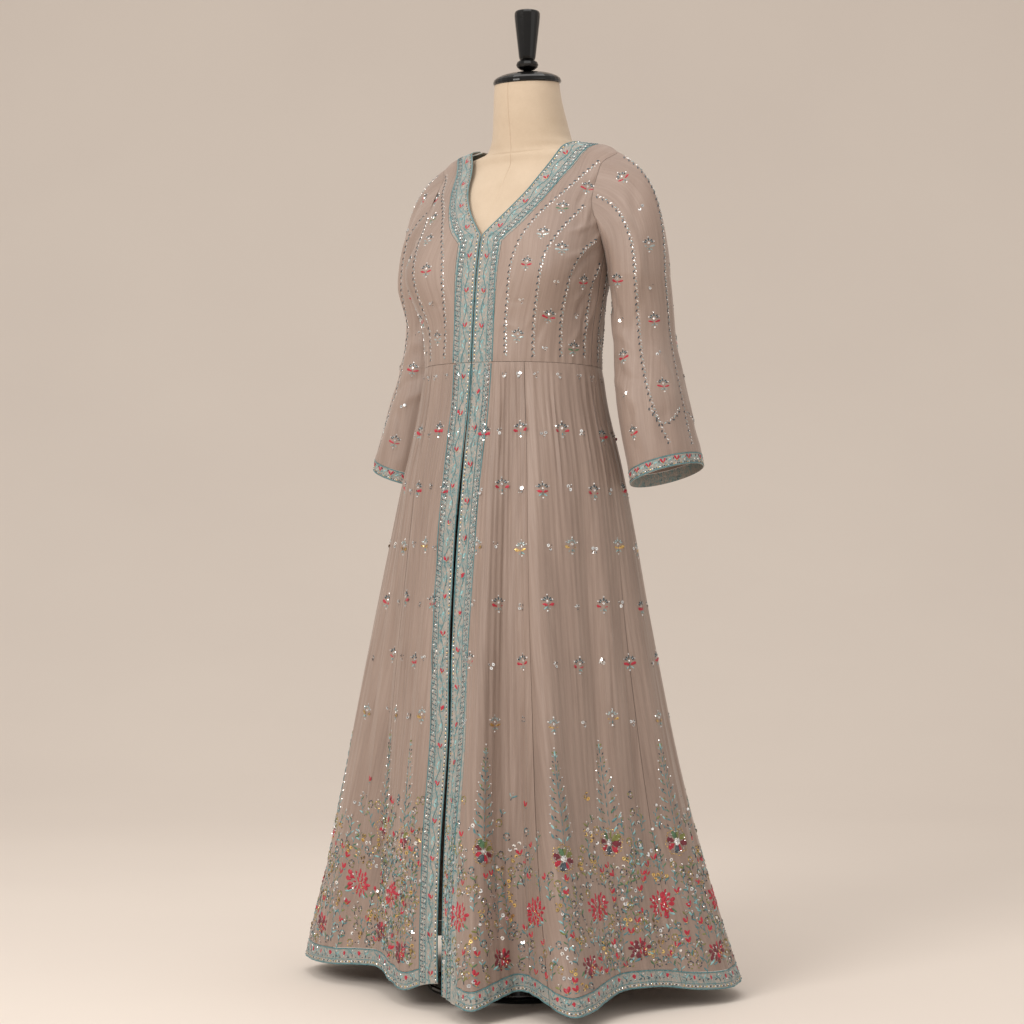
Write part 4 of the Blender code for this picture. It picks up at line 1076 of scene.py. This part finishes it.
def vine_strip(work, length, width, to_anchor, phase, pitch=0.055):
    """The worked strip: cord edges, a bead row, a net of bugles and a vine with red buds.

    to_anchor(w, l) turns metres across from the inner edge and along into surface parameters.
    """
    def cord_at(w, kind, half, high):
        count = max(8, int(length / 0.006))
        run = np.linspace(0.0006, length - 0.0006, count)
        across = w(run) if callable(w) else np.full(count, w)
        work.cord(kind, *to_anchor(across, run), half, high)

    def spot(across, along):
        a, b = to_anchor(np.array([across]), np.array([along]))
        return a[0], b[0]
    cord_at(0.0012, "teal", 0.0010, 0.0011)
    cord_at(width - 0.0012, "teal", 0.0010, 0.0011)
    cord_at(width - 0.0134, "teal", 0.0006, 0.0008)
    middle = 0.0062 + (width - 0.0134 - 0.0062) / 2

    def stem(run):
        return middle + 0.0036 * np.sin(2 * math.pi * (run / pitch + phase))
    cord_at(stem, "teal", 0.0007, 0.0009)
    for i, run in enumerate(np.arange(0.0015, length - 0.001, 0.0031)):
        kind = ("navy", "silver", "navy", "gold")[i % 4]
        work.add("bead", kind, spot(0.0045, run), 0, 0, 90, (0.0013, 0.0012, 0.0012))
    for i, run in enumerate(np.arange(0.002, length - 0.001, 0.0040)):
        for j, (share, turn) in enumerate(((0.0108, 48), (0.0072, -44), (0.0042, 40))):
            anchor = spot(width - share, min(run + 0.0013 * j, length - 0.001))
            kind = ("navy", "silver", "navy", "teal", "navy", "pearl")[(i + 2 * j) % 6]
            lean = turn if (i + j) % 2 else -turn
            work.add("bead", kind, anchor, 0, 0, lean, (0.0021, 0.0009, 0.0012))
    for i in range(int(2 * length / pitch) + 2):
        run = (i / 2 + 0.25 - phase % 1.0) * pitch
        if not 0.006 < run < length - 0.006:
            continue
        crest = i % 2 == 0
        side = 1 if crest else -1
        anchor = spot(middle - 0.0006 * side, run)
        if crest:
            work.motif(bud(), anchor)
        else:
            work.add("leaf", "aqua", anchor, 0.0010, 0.0034, 66, (0.0054, 0.0029, 0.0014))
            work.add("leaf", "aqua", anchor, -0.0014, -0.0036, 112, (0.0046, 0.0025, 0.0014))
            work.add("crystal", "silver", anchor, 0.0, 0.0, 0, (0.0013, 0.0013, 0.0012))
    for i, run in enumerate(np.arange(0.004, length - 0.004, pitch / 6)):
        side = 1 if i % 2 else -1
        work.add("leaf", "aqua" if i % 3 else "teal", spot(stem(run), run), 0.0030 * side, 0.0010,
                 90 - 52 * side, (0.0031, 0.0015, 0.0012))


# ---- where the embroidery lies -----------------------------------------------------------------
# The skirt's motifs are laid out by spacing: alternate columns carry sprigs on alternate rows.
COLUMN_COUNT = 28
FIRST_COLUMN = 16.0
COLUMN_STEP = 12.2
FIRST_ROW = 0.02
ROW_STEP = 0.092
ROW_ACCENTS = (None, "crimson", "crimson", "gold", "crimson", "crimson", "gold")
# The deep border: sprays over large flowers, with red heads between and darker ones below.
SPRAY_COUNT = 14
FIRST_SPRAY = 26.0
SPRAY_STEP = 24.0
SPRAY_LEVEL = 0.735
# Each head's kind, how many degrees it stands past its spray, and its fraction of the length.
BORDER_HEADS = ((0, 0.0, 0.768), (1, -9.0, 0.864), (2, 5.0, 0.938))


def tree():
    """A spray that narrows to its tip: a stem, paired leaves, beads and crystals."""
    parts = []
    for i in range(10):
        share = i / 9
        y = -0.066 + 0.125 * share
        size = 1.0 - 0.45 * share
        spread = 0.0185 * (1 - share) ** 0.75
        parts.append(("bead", "teal", 0.0, y, 90, (0.0062, 0.0009, 0.0012)))
        for side in (1, -1):
            lean = 90 - side * (38 + 14 * (i % 2))
            parts.append(("leaf", ("aqua", "teal", "green")[i % 3], side * (0.0040 + 0.20 * spread),
                          y + 0.0030, lean, (0.0058 * size, 0.0028 * size, 0.0016)))
            if spread > 0.005:
                parts.append(("bead", "teal", side * spread * 0.62, y + 0.0035, 90 - side * 58,
                              (spread * 0.38, 0.0008, 0.0010)))
                parts.append(("leaf", ("teal", "aqua")[i % 2], side * spread, y + 0.0078, lean + side * 22,
                              (0.0050 * size, 0.0025 * size, 0.0015)))
                parts.append(("crystal", "silver", side * (spread + 0.0034), y + 0.0122, 0,
                              (0.0016, 0.0016, 0.0013)))
            parts.append(("bead", ("navy", "olive")[i % 2], side * (0.0030 + 0.5 * spread), y + 0.0085, lean,
                          (0.0024, 0.0012, 0.0013)))
    parts += [("leaf", "aqua", 0.0, 0.0660, 90, (0.0060, 0.0027, 0.0014)),
              ("crystal", "silver", 0.0, 0.0742, 0, (0.0019, 0.0019, 0.0014))]
    return parts


def round_flower():
    """A large flower: green petals over red and dark ones, with a gold beaded outline."""
    colours = ("olive", "olive", "maroon", "crimson", "navy", "crimson", "maroon", "green")
    parts = []
    for i, colour in enumerate(colours):
        turn = 68 - 45 * i
        c, s = pointing(turn)
        parts.append(("petal", colour, 0.0118 * c, 0.0118 * s, turn, (0.0085, 0.0062, 0.0026)))
        for lean in (-14, 14):
            c2, s2 = pointing(turn + lean)
            parts.append(("crystal", "silver", 0.0158 * c2, 0.0158 * s2, 0, (0.0012, 0.0012, 0.0036)))
    for i in range(30):
        turn = 12 * i
        reach = 0.0208 + 0.0016 * math.cos(math.radians(8 * turn))
        c, s = pointing(turn)
        parts.append(("bead", "gold", reach * c, reach * s, turn + 90, (0.0020, 0.0009, 0.0012)))
    for i in range(6):
        c, s = pointing(60 * i)
        parts.append(("sequin", "silver", 0.0040 * c, 0.0040 * s, 30 * i, (0.0026, 0.0026, 0.0032)))
    parts.append(("crystal", "silver", 0.0, 0.0, 0, (0.0028, 0.0028, 0.0040)))
    return parts


def red_cluster(colour, other, reach):
    """An uneven head of red petals scattered with crystals, and teal leaves at its foot."""
    parts = []
    count = int(26 * reach / 0.028)
    for i in range(count):
        share = math.sqrt((i + 0.5) / count)
        turn = 137.5 * i
        c, s = pointing(turn)
        x, y = reach * share * c, 0.72 * reach * share * s
        kind = (colour, colour, other)[i % 3]
        parts.append(("petal", kind, x, y, turn, (0.0060, 0.0042, 0.0024)))
        if i % 2 == 0:
            parts.append(("sequin", "silver", x * 0.86 + 0.0015, y * 0.86, 0, (0.0019, 0.0019, 0.0036)))
        if i % 5 == 0:
            parts.append(("bead", "gold", x * 1.08, y * 1.08, turn + 90, (0.0022, 0.0010, 0.0026)))
    for side in (1, -1):
        for i in range(3):
            parts.append(("leaf", ("teal", "aqua", "green")[i], side * (0.010 + 0.007 * i),
                          -0.62 * reach - 0.004 + 0.003 * i, 90 - side * (100 + 16 * i),
                          (0.0070, 0.0032, 0.0016)))
    return parts


def leaf_pair(kinds):
    return [("leaf", kinds[0], 0.0032, 0.0016, 42, (0.0048, 0.0024, 0.0014)),
            ("leaf", kinds[1], -0.0032, 0.0016, 138, (0.0048, 0.0024, 0.0014)),
            ("bead", "navy", 0.0, -0.0030, 90, (0.0034, 0.0009, 0.0012)),
            ("crystal", "silver", 0.0, 0.0052, 0, (0.0014, 0.0014, 0.0012))]


def curl(kind, edge):
    """A small scroll of bugle beads with a crystal at its heart."""
    parts = [("crystal", "silver", 0.0, 0.0, 0, (0.0016, 0.0016, 0.0014))]
    for i in range(7):
        turn = 48 * i
        reach = 0.0034 + 0.00042 * i
        c, s = pointing(turn)
        parts.append(("bead", kind if i % 3 else edge, reach * c, reach * s, turn + 98,
                      (0.0021, 0.0010, 0.0013)))
    return parts


def twig(kinds):
    parts = []
    for i in range(4):
        y = -0.009 + 0.0062 * i
        side = 1 if i % 2 else -1
        parts.append(("bead", "teal", 0.0006 * side, y, 90, (0.0033, 0.0008, 0.0010)))
        parts.append(("leaf", kinds[i % 2], 0.0036 * side, y + 0.0024, 90 - 50 * side,
                      (0.0041, 0.0020, 0.0013)))
    parts.append(("sequin", "silver", 0.0, 0.0165, 0, (0.0022, 0.0022, 0.0012)))
    return parts


FILL = (lambda: leaf_pair(("aqua", "teal")), lambda: curl("navy", "olive"), lambda: twig(("aqua", "green")),
        lambda: curl("olive", "gold"), lambda: sequins(2), lambda: leaf_pair(("green", "olive")),
        lambda: twig(("teal", "olive")), lambda: curl("teal", "navy"), lambda: bud(),
        lambda: sequins(3, "gold"))


def kali_of(degrees):
    """Which kali carries a compass angle, with the front strips' span left out."""
    if degrees < 9.0 or degrees > 353.5:
        return None
    return int(np.searchsorted(KALI_SEAMS, degrees))


def build_skirt_work():
    works = [Work(f"skirt_embroidery_{name}", skirt, -1, -1, (0.004, 0.001), "cloth")
             for name in KALI_NAMES]

    def put(degrees, fraction, stitches, scale=1.0, turn=0.0, flip=1):
        index = kali_of(degrees)
        if index is not None:
            works[index].motif(stitches, (math.radians(degrees), fraction), scale, turn, flip)
    for row, accent in enumerate(ROW_ACCENTS):
        for column in range(COLUMN_COUNT):
            degrees = FIRST_COLUMN + COLUMN_STEP * column + 1.3 * math.sin(3.1 * row + 1.7 * column)
            level = FIRST_ROW + ROW_STEP * row + 0.004 * math.sin(2.3 * column + row) * min(row, 1)
            if accent is None:
                put(degrees, level, sequins(3), 0.85)
            elif (row + column) % 2:
                crown = "pearl" if accent == "gold" else "navy"
                put(degrees, level, butti(accent, crown), 1.0, 4 * math.sin(column))
            else:
                put(degrees, level, sequins(3 + column % 3 // 2), 0.95)
    taken = []
    for spray in range(SPRAY_COUNT):
        degrees = FIRST_SPRAY + SPRAY_STEP * spray + 1.5 * math.sin(2.1 * spray)
        for kind, past, fraction in BORDER_HEADS:
            stitches = (round_flower(), red_cluster("crimson", "crimson", 0.027),
                        red_cluster("maroon", "crimson", 0.019))[kind]
            place = (degrees + past, fraction + 0.004 * math.sin(1.9 * spray + kind))
            put(*place, stitches, 1.0, 8 * math.sin(spray))
            taken.append(place + ((0.026, 0.031, 0.023)[kind],))
        put(degrees, SPRAY_LEVEL - 0.055, tree(), 1.0, 3 * math.sin(spray))
        taken.append((degrees, SPRAY_LEVEL - 0.075, 0.024))
        taken.append((degrees, SPRAY_LEVEL - 0.035, 0.030))
    step = 0.0138
    fraction = 0.690
    row = 0
    while fraction < HEM_START - 0.010:
        reach = float(np.linalg.norm(skirt_base(math.radians(120.0), fraction)[:2]))
        count = int(2 * math.pi * reach / step)
        for i in range(count):
            degrees = 360 * (i + 0.5 * (row % 2) + random.uniform(-0.25, 0.25)) / count
            level = fraction + random.uniform(-0.004, 0.004)
            chance = 0.25 + 0.80 * ease((fraction - 0.70) / 0.12)
            pick = int(random.integers(0, len(FILL)))
            turn = random.uniform(-35, 35)
            if random.uniform() > chance:
                continue
            metres = math.radians(1) * reach
            if any(math.hypot((degrees - d) * metres, (level - f) * SKIRT_LENGTH) < r + 0.003
                   for d, f, r in taken):
                continue
            put(degrees, level, FILL[pick](), 1.12, turn, 1 if i % 2 else -1)
        fraction += 0.0128
        row += 1
    for work in works:
        work.build()


def build_hem_work():
    for index, name in enumerate(KALI_NAMES):
        work = Work(f"hem_embroidery_{name}", skirt, -1, -1, (0.004, 0.001))
        band = np.linspace(0.0, 1.0, 90)
        first, last = kali_bounds(index, np.full(90, 0.5 * (1 + HEM_START)))
        angles = mix(first + 0.0012, last - 0.0012, band)

        def level(drop):
            return HEM_START + drop / SKIRT_LENGTH
        middle = skirt(angles, np.full(90, level(0.014)))
        run = np.concatenate(((0.0,), np.cumsum(np.linalg.norm(np.diff(middle, axis=0), axis=1))))
        for drop, half in ((0.0014, 0.0010), (0.0265, 0.0011), (0.0185, 0.0006)):
            work.cord("teal", angles, np.full(90, level(drop)), half, half + 0.0001)
        for i, place in enumerate(np.arange(0.004, run[-1] - 0.003, 0.0034)):
            angle = np.interp(place, run, angles)
            kind = ("gold", "silver", "navy", "silver")[i % 4]
            work.add("bead", kind, (angle, level(0.0224)), 0, 0, 20 * (-1) ** i, (0.0017, 0.0013, 0.0014))
        for i, place in enumerate(np.arange(0.010, run[-1] - 0.008, 0.0160)):
            anchor = (np.interp(place, run, angles), level(0.0100))
            if i % 2:
                work.motif([("petal", "crimson", 0.0, 0.0010, 90, (0.0042, 0.0038, 0.0020)),
                            ("crystal", "silver", 0.0, -0.0030, 0, (0.0013, 0.0013, 0.0018))], anchor)
            else:
                work.motif(leaf_pair(("aqua", "teal")), anchor)
            side = 1 if i % 4 < 2 else -1
            work.add("leaf", "teal", anchor, 0.0072, 0.0018 * side, 30 * side, (0.0034, 0.0016, 0.0012))
            work.add("bead", "navy", anchor, 0.0082, -0.0040, 12, (0.0030, 0.0009, 0.0011))
        work.build()


# Lines of chained bugle beads on the bodice, as degrees round from the front and heights. The
# front's rise from the waist and turn out to the armhole; both tables are mirrored.
FRONT_CHAINS = (
    ((64, 1.320), (50, 1.290), (30, 1.235), (20, 1.170), (20, 1.090), (22, 1.006)),
    ((58, 1.245), (46, 1.205), (38, 1.160), (38, 1.090), (40, 1.006)),
    ((76, 1.190), (62, 1.165), (56, 1.110), (60, 1.005)),
    ((86, 1.155), (80, 1.110), (81, 1.003)),
)
BACK_CHAINS = (
    ((114, 1.300), (119, 1.240), (118, 1.160), (116, 1.080), (117, 1.000)),
    ((136, 1.290), (137, 1.200), (136, 1.100), (138, 1.000)),
    ((157, 1.270), (158, 1.200), (157, 1.100), (159, 1.000)),
    ((99, 1.170), (98, 1.110), (99, 1.000)),
)
# Sprigs and sequins between the lines: degrees, the top and bottom heights, and how many.
FRONT_SPRIGS = ((29, 1.150, 1.040, 3), (48, 1.170, 1.020, 4), (70, 1.120, 1.020, 3), (43, 1.240, 1.240, 1),
                (57, 1.275, 1.275, 1), (35, 1.200, 1.200, 1))
BACK_SPRIGS = ((107, 1.145, 1.030, 3), (127, 1.280, 1.025, 6), (147, 1.250, 1.025, 6),
               (169, 1.265, 1.025, 6))


def put_bodice(work, chains, sprigs, side):
    """Every other place down a column is a sprig, and the ones between are sequins."""
    for line in chains:
        degrees, z = np.array(line, float).T
        chain(work, np.radians(side * degrees), z)
    for column, (degrees, top, bottom, count) in enumerate(sprigs):
        for i, z in enumerate(np.linspace(top, bottom, count)):
            accent = ("crimson", "pearl", "crimson", "green")[(i // 2 + column) % 4]
            stitches = sequins(3) if i % 2 else butti(accent)
            anchor = (math.radians(side * degrees), z + 0.002 * side * math.sin(5 * i + column))
            work.motif(stitches, anchor, 0.8 if i % 2 else 0.92, 5 * math.sin(column + 2 * i))


def build_bodice_work():
    for name, side in SIDES:
        front = Work(f"bodice_embroidery_{name}", body, 1, 1, (0.004, 0.0006), "cloth")
        put_bodice(front, FRONT_CHAINS, FRONT_SPRIGS, side)
        front.build()
    back = Work("bodice_embroidery_back", body, 1, 1, (0.004, 0.0006), "cloth")
    for _, side in SIDES:
        put_bodice(back, BACK_CHAINS, BACK_SPRIGS, side)
    back.build()


# Chains of the sleeve: turn in degrees (0 outward, 90 front) and share of the length.
SLEEVE_CHAINS = (
    ((75, 0.02), (65, 0.12), (60, 0.30), (60, 0.60), (55, 0.80), (40, 0.97)),
    ((5, 0.02), (0, 0.20), (-5, 0.50), (-5, 0.75), (0, 0.97)),
    ((-60, 0.03), (-65, 0.30), (-65, 0.60), (-60, 0.80), (-50, 0.96)),
    ((-120, 0.05), (-125, 0.30), (-125, 0.60), (-120, 0.96)),
    ((60, 0.83), (45, 0.89), (25, 0.88), (5, 0.84)),
    ((-62, 0.83), (-50, 0.89), (-25, 0.88), (-8, 0.85)),
)
# Columns of sprigs and sequins between them: turn, first and last share of the length, count.
SLEEVE_SPRIGS = ((30, 0.08, 0.76, 7), (97, 0.40, 0.90, 5), (150, 0.48, 0.88, 4), (-155, 0.34, 0.86, 5),
                 (-92, 0.20, 0.90, 7), (-35, 0.12, 0.72, 6))


def build_sleeve_work():
    for name, side in SIDES:
        work = Work(f"sleeve_embroidery_{name}", sleeve_surface(side), -1, side, (0.01, 0.001), "cloth")
        for line in SLEEVE_CHAINS:
            turn, along = np.array(line, float).T
            chain(work, np.radians(turn + (0 if side > 0 else 3)), along)
        for column, (degrees, first, last, count) in enumerate(SLEEVE_SPRIGS):
            for i, along in enumerate(np.linspace(first, last, count)):
                accent = "pearl" if (i + column) % 5 == 2 else "crimson"
                stitches = sequins(2) if i % 2 else butti(accent)
                work.motif(stitches, (math.radians(degrees), along + (0.0 if side > 0 else 0.012)), 0.92)
        work.build()
        cuff = Work(f"cuff_embroidery_{name}", cuff_surface(side), -1, side, (0.01, 0.0006))
        turns = np.linspace(0, 2 * math.pi, 121)
        points = cuff.surface(turns, np.full(121, 0.009))
        run = np.concatenate(((0.0,), np.cumsum(np.linalg.norm(np.diff(points, axis=0), axis=1))))
        for drop in (0.0014, 0.0175):
            cuff.cord("teal", turns, np.full(121, drop), 0.0009, 0.0010)
        for i, place in enumerate(np.arange(0.001, run[-1] - 0.001, 0.0032)):
            kind = ("navy", "silver", "gold", "navy")[i % 4]
            cuff.add("bead", kind, (np.interp(place, run, turns), 0.0152), 0, 0, 0, (0.0013, 0.0011, 0.0012))
        for i, place in enumerate(np.arange(0.004, run[-1] - 0.004, 0.0118)):
            anchor = (np.interp(place, run, turns), 0.0082)
            if i % 2:
                cuff.motif(bud(), anchor, 0.95)
            else:
                cuff.add("leaf", "aqua", anchor, 0.0, 0.0012, 24, (0.0046, 0.0024, 0.0013))
                cuff.add("crystal", "silver", anchor, 0.0020, -0.0030, 0, (0.0015, 0.0015, 0.0013))
            cuff.add("bead", "navy", anchor, 0.0058, 0.0024, 60, (0.0024, 0.0009, 0.0011))
        cuff.build()


def metric_strip(edge_low, edge_high, point_at, steps):
    """A strip's length and a function from metres across and along to its parameters."""
    low, high = edge_low(steps), edge_high(steps)
    middle = point_at(mix(low[0], high[0], 0.5), mix(low[1], high[1], 0.5))
    run = np.concatenate(((0.0,), np.cumsum(np.linalg.norm(np.diff(middle, axis=0), axis=1))))
    width = np.linalg.norm(point_at(*high) - point_at(*low), axis=1)

    def to_anchor(across, along):
        a0, b0 = np.interp(along, run, low[0]), np.interp(along, run, low[1])
        a1, b1 = np.interp(along, run, high[0]), np.interp(along, run, high[1])
        share = across / np.interp(along, run, width)
        return mix(a0, a1, share), mix(b0, b1, share)
    return run[-1], to_anchor


def build_strip_work():
    for name, side in SIDES:
        steps = np.linspace(0.004, 1.996, 240)

        def low(t):
            return strip_edge(t, True)

        def high(t):
            return strip_edge(t, False)
        length, to_anchor = metric_strip(low, high, body_base, steps)

        def mirrored(across, along, to_anchor=to_anchor, side=side):
            a, b = to_anchor(across, along)
            return side * a, b
        work = Work(f"front_strip_embroidery_{name}", body, 1, 1, (0.004, 0.0006))
        vine_strip(work, length, BAND_WIDTH + 0.002, mirrored, phase=0.25 if side > 0 else 0.20)
        work.build()
        fractions = np.linspace(0.999, 0.002, 300)

        def inner(f, side=side):
            return front_edge_angle(f, side), f

        def outer(f, side=side):
            return strip_seam_angle(f, side), f
        length, to_anchor = metric_strip(inner, outer, skirt_base, fractions)
        work = Work(f"skirt_strip_embroidery_{name}", skirt, -1, -1, (0.004, 0.001))
        vine_strip(work, length, BAND_WIDTH, to_anchor, phase=0.1 if side > 0 else 0.0, pitch=0.058)
        work.build()
    places = np.linspace(1.01, 2.99, 160)

    def neck_edge(p):
        return back_top(p, True)

    def seam_edge(p):
        return back_top(p, False)
    length, to_anchor = metric_strip(neck_edge, seam_edge, body_base, places)
    work = Work("back_neck_embroidery", body, 1, 1, (0.004, 0.0006))
    vine_strip(work, length, 0.033, to_anchor, phase=0.1, pitch=0.048)
    work.build()


build_strip_work()
build_bodice_work()
build_sleeve_work()
build_skirt_work()
build_hem_work()


# ---- dress form and stand ----------------------------------------------------------------------
def cover_material():
    """The form's plain cotton cover: a close weave, matt, a little mottled."""
    n = Nodes("cotton_cover")
    place = n.add("ShaderNodeTexCoord").outputs[3]
    blot = n.noise(place, 14.0, 4.0, 0.6)
    weave = n.noise(n.stretched(place, 1500, 1500, 700), 1.0, 2.0, 0.5)
    tone = n.maths("ADD", n.maths("MULTIPLY", blot, 0.6), n.maths("MULTIPLY", weave, 0.4))
    n.link(n.ramp(tone, ((0.35, (0.520, 0.405, 0.290)), (0.65, (0.610, 0.490, 0.365)))), "Base Color")
    height = n.bump(weave, 0.0002, 0.5)
    n.tree.links.new(height, n.shader.inputs["Normal"])
    n.set(Roughness=0.85, Sheen_Weight=0.15, Sheen_Roughness=0.5)
    return n.material


def lacquer_material():
    n = Nodes("black_lacquer")
    place = n.add("ShaderNodeTexCoord").outputs[3]
    smear = n.noise(place, 60.0, 3.0, 0.6)
    n.link(n.ramp(smear, ((0.3, (0.0015, 0.0014, 0.0014)), (0.7, (0.0035, 0.0030, 0.0028)))), "Base Color")
    n.link(n.add("ShaderNodeMapRange", Value=smear, To_Min=0.07, To_Max=0.16).outputs[0], "Roughness")
    n.set(Specular_IOR_Level=0.32, Coat_Weight=0.2, Coat_Roughness=0.04)
    return n.material


def steel_material():
    n = Nodes("brushed_pole")
    place = n.add("ShaderNodeTexCoord").outputs[3]
    brush = n.noise(n.stretched(place, 900, 900, 12), 1.0, 3.0, 0.6)
    n.link(n.ramp(brush, ((0.3, (0.42, 0.42, 0.43)), (0.7, (0.60, 0.60, 0.61)))), "Base Color")
    n.link(n.add("ShaderNodeMapRange", Value=brush, To_Min=0.25, To_Max=0.42).outputs[0], "Roughness")
    n.set(Metallic=1.0)
    return n.material


# The form's hidden hips: z, half_width, centre_y, half_depth.
FORM_HIPS = ((0.760, 0.118, -0.010, 0.082), (0.772, 0.142, -0.010, 0.100), (0.800, 0.160, -0.012, 0.111),
             (0.860, 0.166, -0.013, 0.114), (0.920, 0.160, -0.016, 0.110))
FORM_EASE = 0.008
SHOULDER_EASE = 0.011
SHOULDER_REACH = 0.036
NECK_BASE_Z = 1.384
NECK_TILT = math.radians(4.0)
SEAM_DEPTH = 0.0010
FORM_COLUMNS = 128


def form_ring(turn, z):
    """The form's skin at one level: the cloth's inside less its ease, with two sewn seams."""
    cloth_z = z + SHOULDER_EASE * math.exp(-((z - SHOULDER_TIP_Z) / SHOULDER_REACH) ** 2)
    point = body_base(turn, cloth_z)
    neck_seam_z = 1.353 - 0.012 * np.cos(turn)
    groove = np.exp(-((z - neck_seam_z) / 0.0013) ** 2)
    around = np.arctan2(np.sin(turn), np.cos(turn))
    groove = np.maximum(groove, np.exp(-(around / 0.011) ** 2))
    inset = FORM_EASE + SEAM_DEPTH * groove
    x, y = section_xy(turn, inset, inset, smooth(SECTIONS, 4, np.full(turn.shape, cloth_z)))
    lean = max(0.0, (z - NECK_BASE_Z) / (NECK_TOP_Z - NECK_BASE_Z)) * math.tan(NECK_TILT)
    y = point[:, 1] - y
    return np.stack((point[:, 0] - x, y, z + lean * (y - AXIS_Y)), axis=1)


def build_form():
    """The padded torso and neck as one closed skin, finer than the CAD's, closest at the front."""
    share = np.arange(FORM_COLUMNS) / FORM_COLUMNS
    turn = 2 * math.pi * share - 0.80 * np.sin(2 * math.pi * share)
    rings = []
    for z, half_width, centre_y, half_depth in FORM_HIPS:
        x, y = section_xy(turn, half_width, half_depth, 2.0)
        rings.append(np.stack((x, y + centre_y, np.full(turn.shape, z)), axis=1))
    levels = np.concatenate((np.linspace(0.950, 1.200, 20), np.linspace(1.206, 1.326, 24),
                             np.linspace(1.328, 1.376, 48), np.linspace(1.380, NECK_TOP_Z, 22)))
    rings += [form_ring(turn, float(z)) for z in levels]
    grid = np.array(rings)
    rows, columns = grid.shape[:2]
    faces = [tuple(range(columns))[::-1], tuple(range((rows - 1) * columns, rows * columns))]
    for i in range(rows - 1):
        for j in range(columns):
            k = (j + 1) % columns
            faces.append((i * columns + j, i * columns + k, (i + 1) * columns + k, (i + 1) * columns + j))
    form = new_mesh_object("form_cover", grid.reshape(-1, 3), faces, [cover_material()])
    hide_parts("form_body")


def dress_carried_nodes():
    looks = {"neck_cap": lacquer_material(), "stand_pole": steel_material()}
    looks["finial"] = looks["neck_cap"]
    looks["stand_base"] = looks["neck_cap"]
    for name, material in looks.items():
        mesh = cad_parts[name].data
        mesh.materials.clear()
        mesh.materials.append(material)
        mesh.shade_smooth()
        mesh.set_sharp_from_angle(angle=math.radians(38))


build_form()
dress_carried_nodes()


# ---- stage, light and camera -------------------------------------------------------------------
def stage_material():
    n = Nodes("cream_paper")
    place = n.add("ShaderNodeTexCoord").outputs[3]
    blot = n.noise(place, 0.9, 3.0, 0.5)
    n.link(n.ramp(blot, ((0.3, (0.815, 0.735, 0.665)), (0.7, (0.845, 0.765, 0.690)))), "Base Color")
    n.set(Roughness=0.7)
    return n.material


CAMERA_AZIMUTH = math.radians(36.0)
CAMERA_DISTANCE = 4.0
CAMERA_Z = 0.765
AIM_LEFT = 0.013
VIEW = Vector((math.sin(CAMERA_AZIMUTH), -math.cos(CAMERA_AZIMUTH), 0.0))
RIGHT = Vector((math.cos(CAMERA_AZIMUTH), math.sin(CAMERA_AZIMUTH), 0.0))


def build_stage():
    """A paper sweep: a floor that curves up gently, clear of a camera 4 m behind the form."""
    half, near, back, radius, top = 9.0, 9.0, 6.5, 4.3, 7.0
    profile = [(-near, 0.0), (back - radius, 0.0)]
    for i in range(1, 13):
        turn = math.radians(90 * i / 12)
        profile.append((back - radius + radius * math.sin(turn), radius - radius * math.cos(turn)))
    profile.append((back, top))
    points = []
    for depth, height in profile:
        for side in (-half, half):
            points.append(tuple(-VIEW * depth + RIGHT * side + Vector((0, 0, height))))
    faces = [(2 * i, 2 * i + 1, 2 * i + 3, 2 * i + 2) for i in range(len(profile) - 1)]
    mesh = bpy.data.meshes.new("paper_sweep")
    mesh.from_pydata(points, [], faces)
    mesh.materials.append(stage_material())
    mesh.shade_smooth()
    obj = bpy.data.objects.new("paper_sweep", mesh)
    bpy.context.scene.collection.objects.link(obj)


def area_light(name, place, aim, size, power, colour):
    data = bpy.data.lights.new(name, "AREA")
    data.shape = "RECTANGLE"
    data.size, data.size_y = size
    data.energy = power
    data.color = colour
    obj = bpy.data.objects.new(name, data)
    obj.location = place
    obj.rotation_euler = (Vector(aim) - Vector(place)).to_track_quat("-Z", "Y").to_euler()
    bpy.context.scene.collection.objects.link(obj)


def in_view(right, toward, height):
    return tuple(RIGHT * right + VIEW * toward + Vector((0, 0, height)))


def build_lights():
    area_light("key_softbox", in_view(-2.1, 2.6, 2.5), (0, 0, 0.85), (1.5, 2.0), 74, (1.0, 0.970, 0.93))
    area_light("fill_softbox", in_view(2.6, 2.4, 1.6), (0, 0, 0.7), (2.2, 2.2), 7, (1.0, 0.97, 0.94))
    area_light("top_softbox", in_view(0.0, 0.4, 3.6), (0, 0, 0.6), (2.6, 2.6), 34, (1.0, 0.98, 0.96))
    world = bpy.data.worlds.new("studio")
    world.use_nodes = True
    shade = world.node_tree.nodes["Background"]
    shade.inputs["Color"].default_value = (1.0, 0.94, 0.885, 1.0)
    shade.inputs["Strength"].default_value = 0.62
    bpy.context.scene.world = world
    bpy.context.scene.view_settings.view_transform = "Standard"
    bpy.context.scene.view_settings.look = "None"


def build_camera():
    data = bpy.data.cameras.new("photo_view")
    data.lens = 87.2
    data.sensor_width = 36.0
    data.clip_end = 50.0
    obj = bpy.data.objects.new("photo_view", data)
    aim = Vector((0.0, 0.0, CAMERA_Z)) - RIGHT * AIM_LEFT
    obj.location = aim + VIEW * CAMERA_DISTANCE
    obj.rotation_euler = (aim - obj.location).to_track_quat("-Z", "Y").to_euler()
    bpy.context.scene.collection.objects.link(obj)
    bpy.context.scene.camera = obj


build_stage()
build_lights()
build_camera()
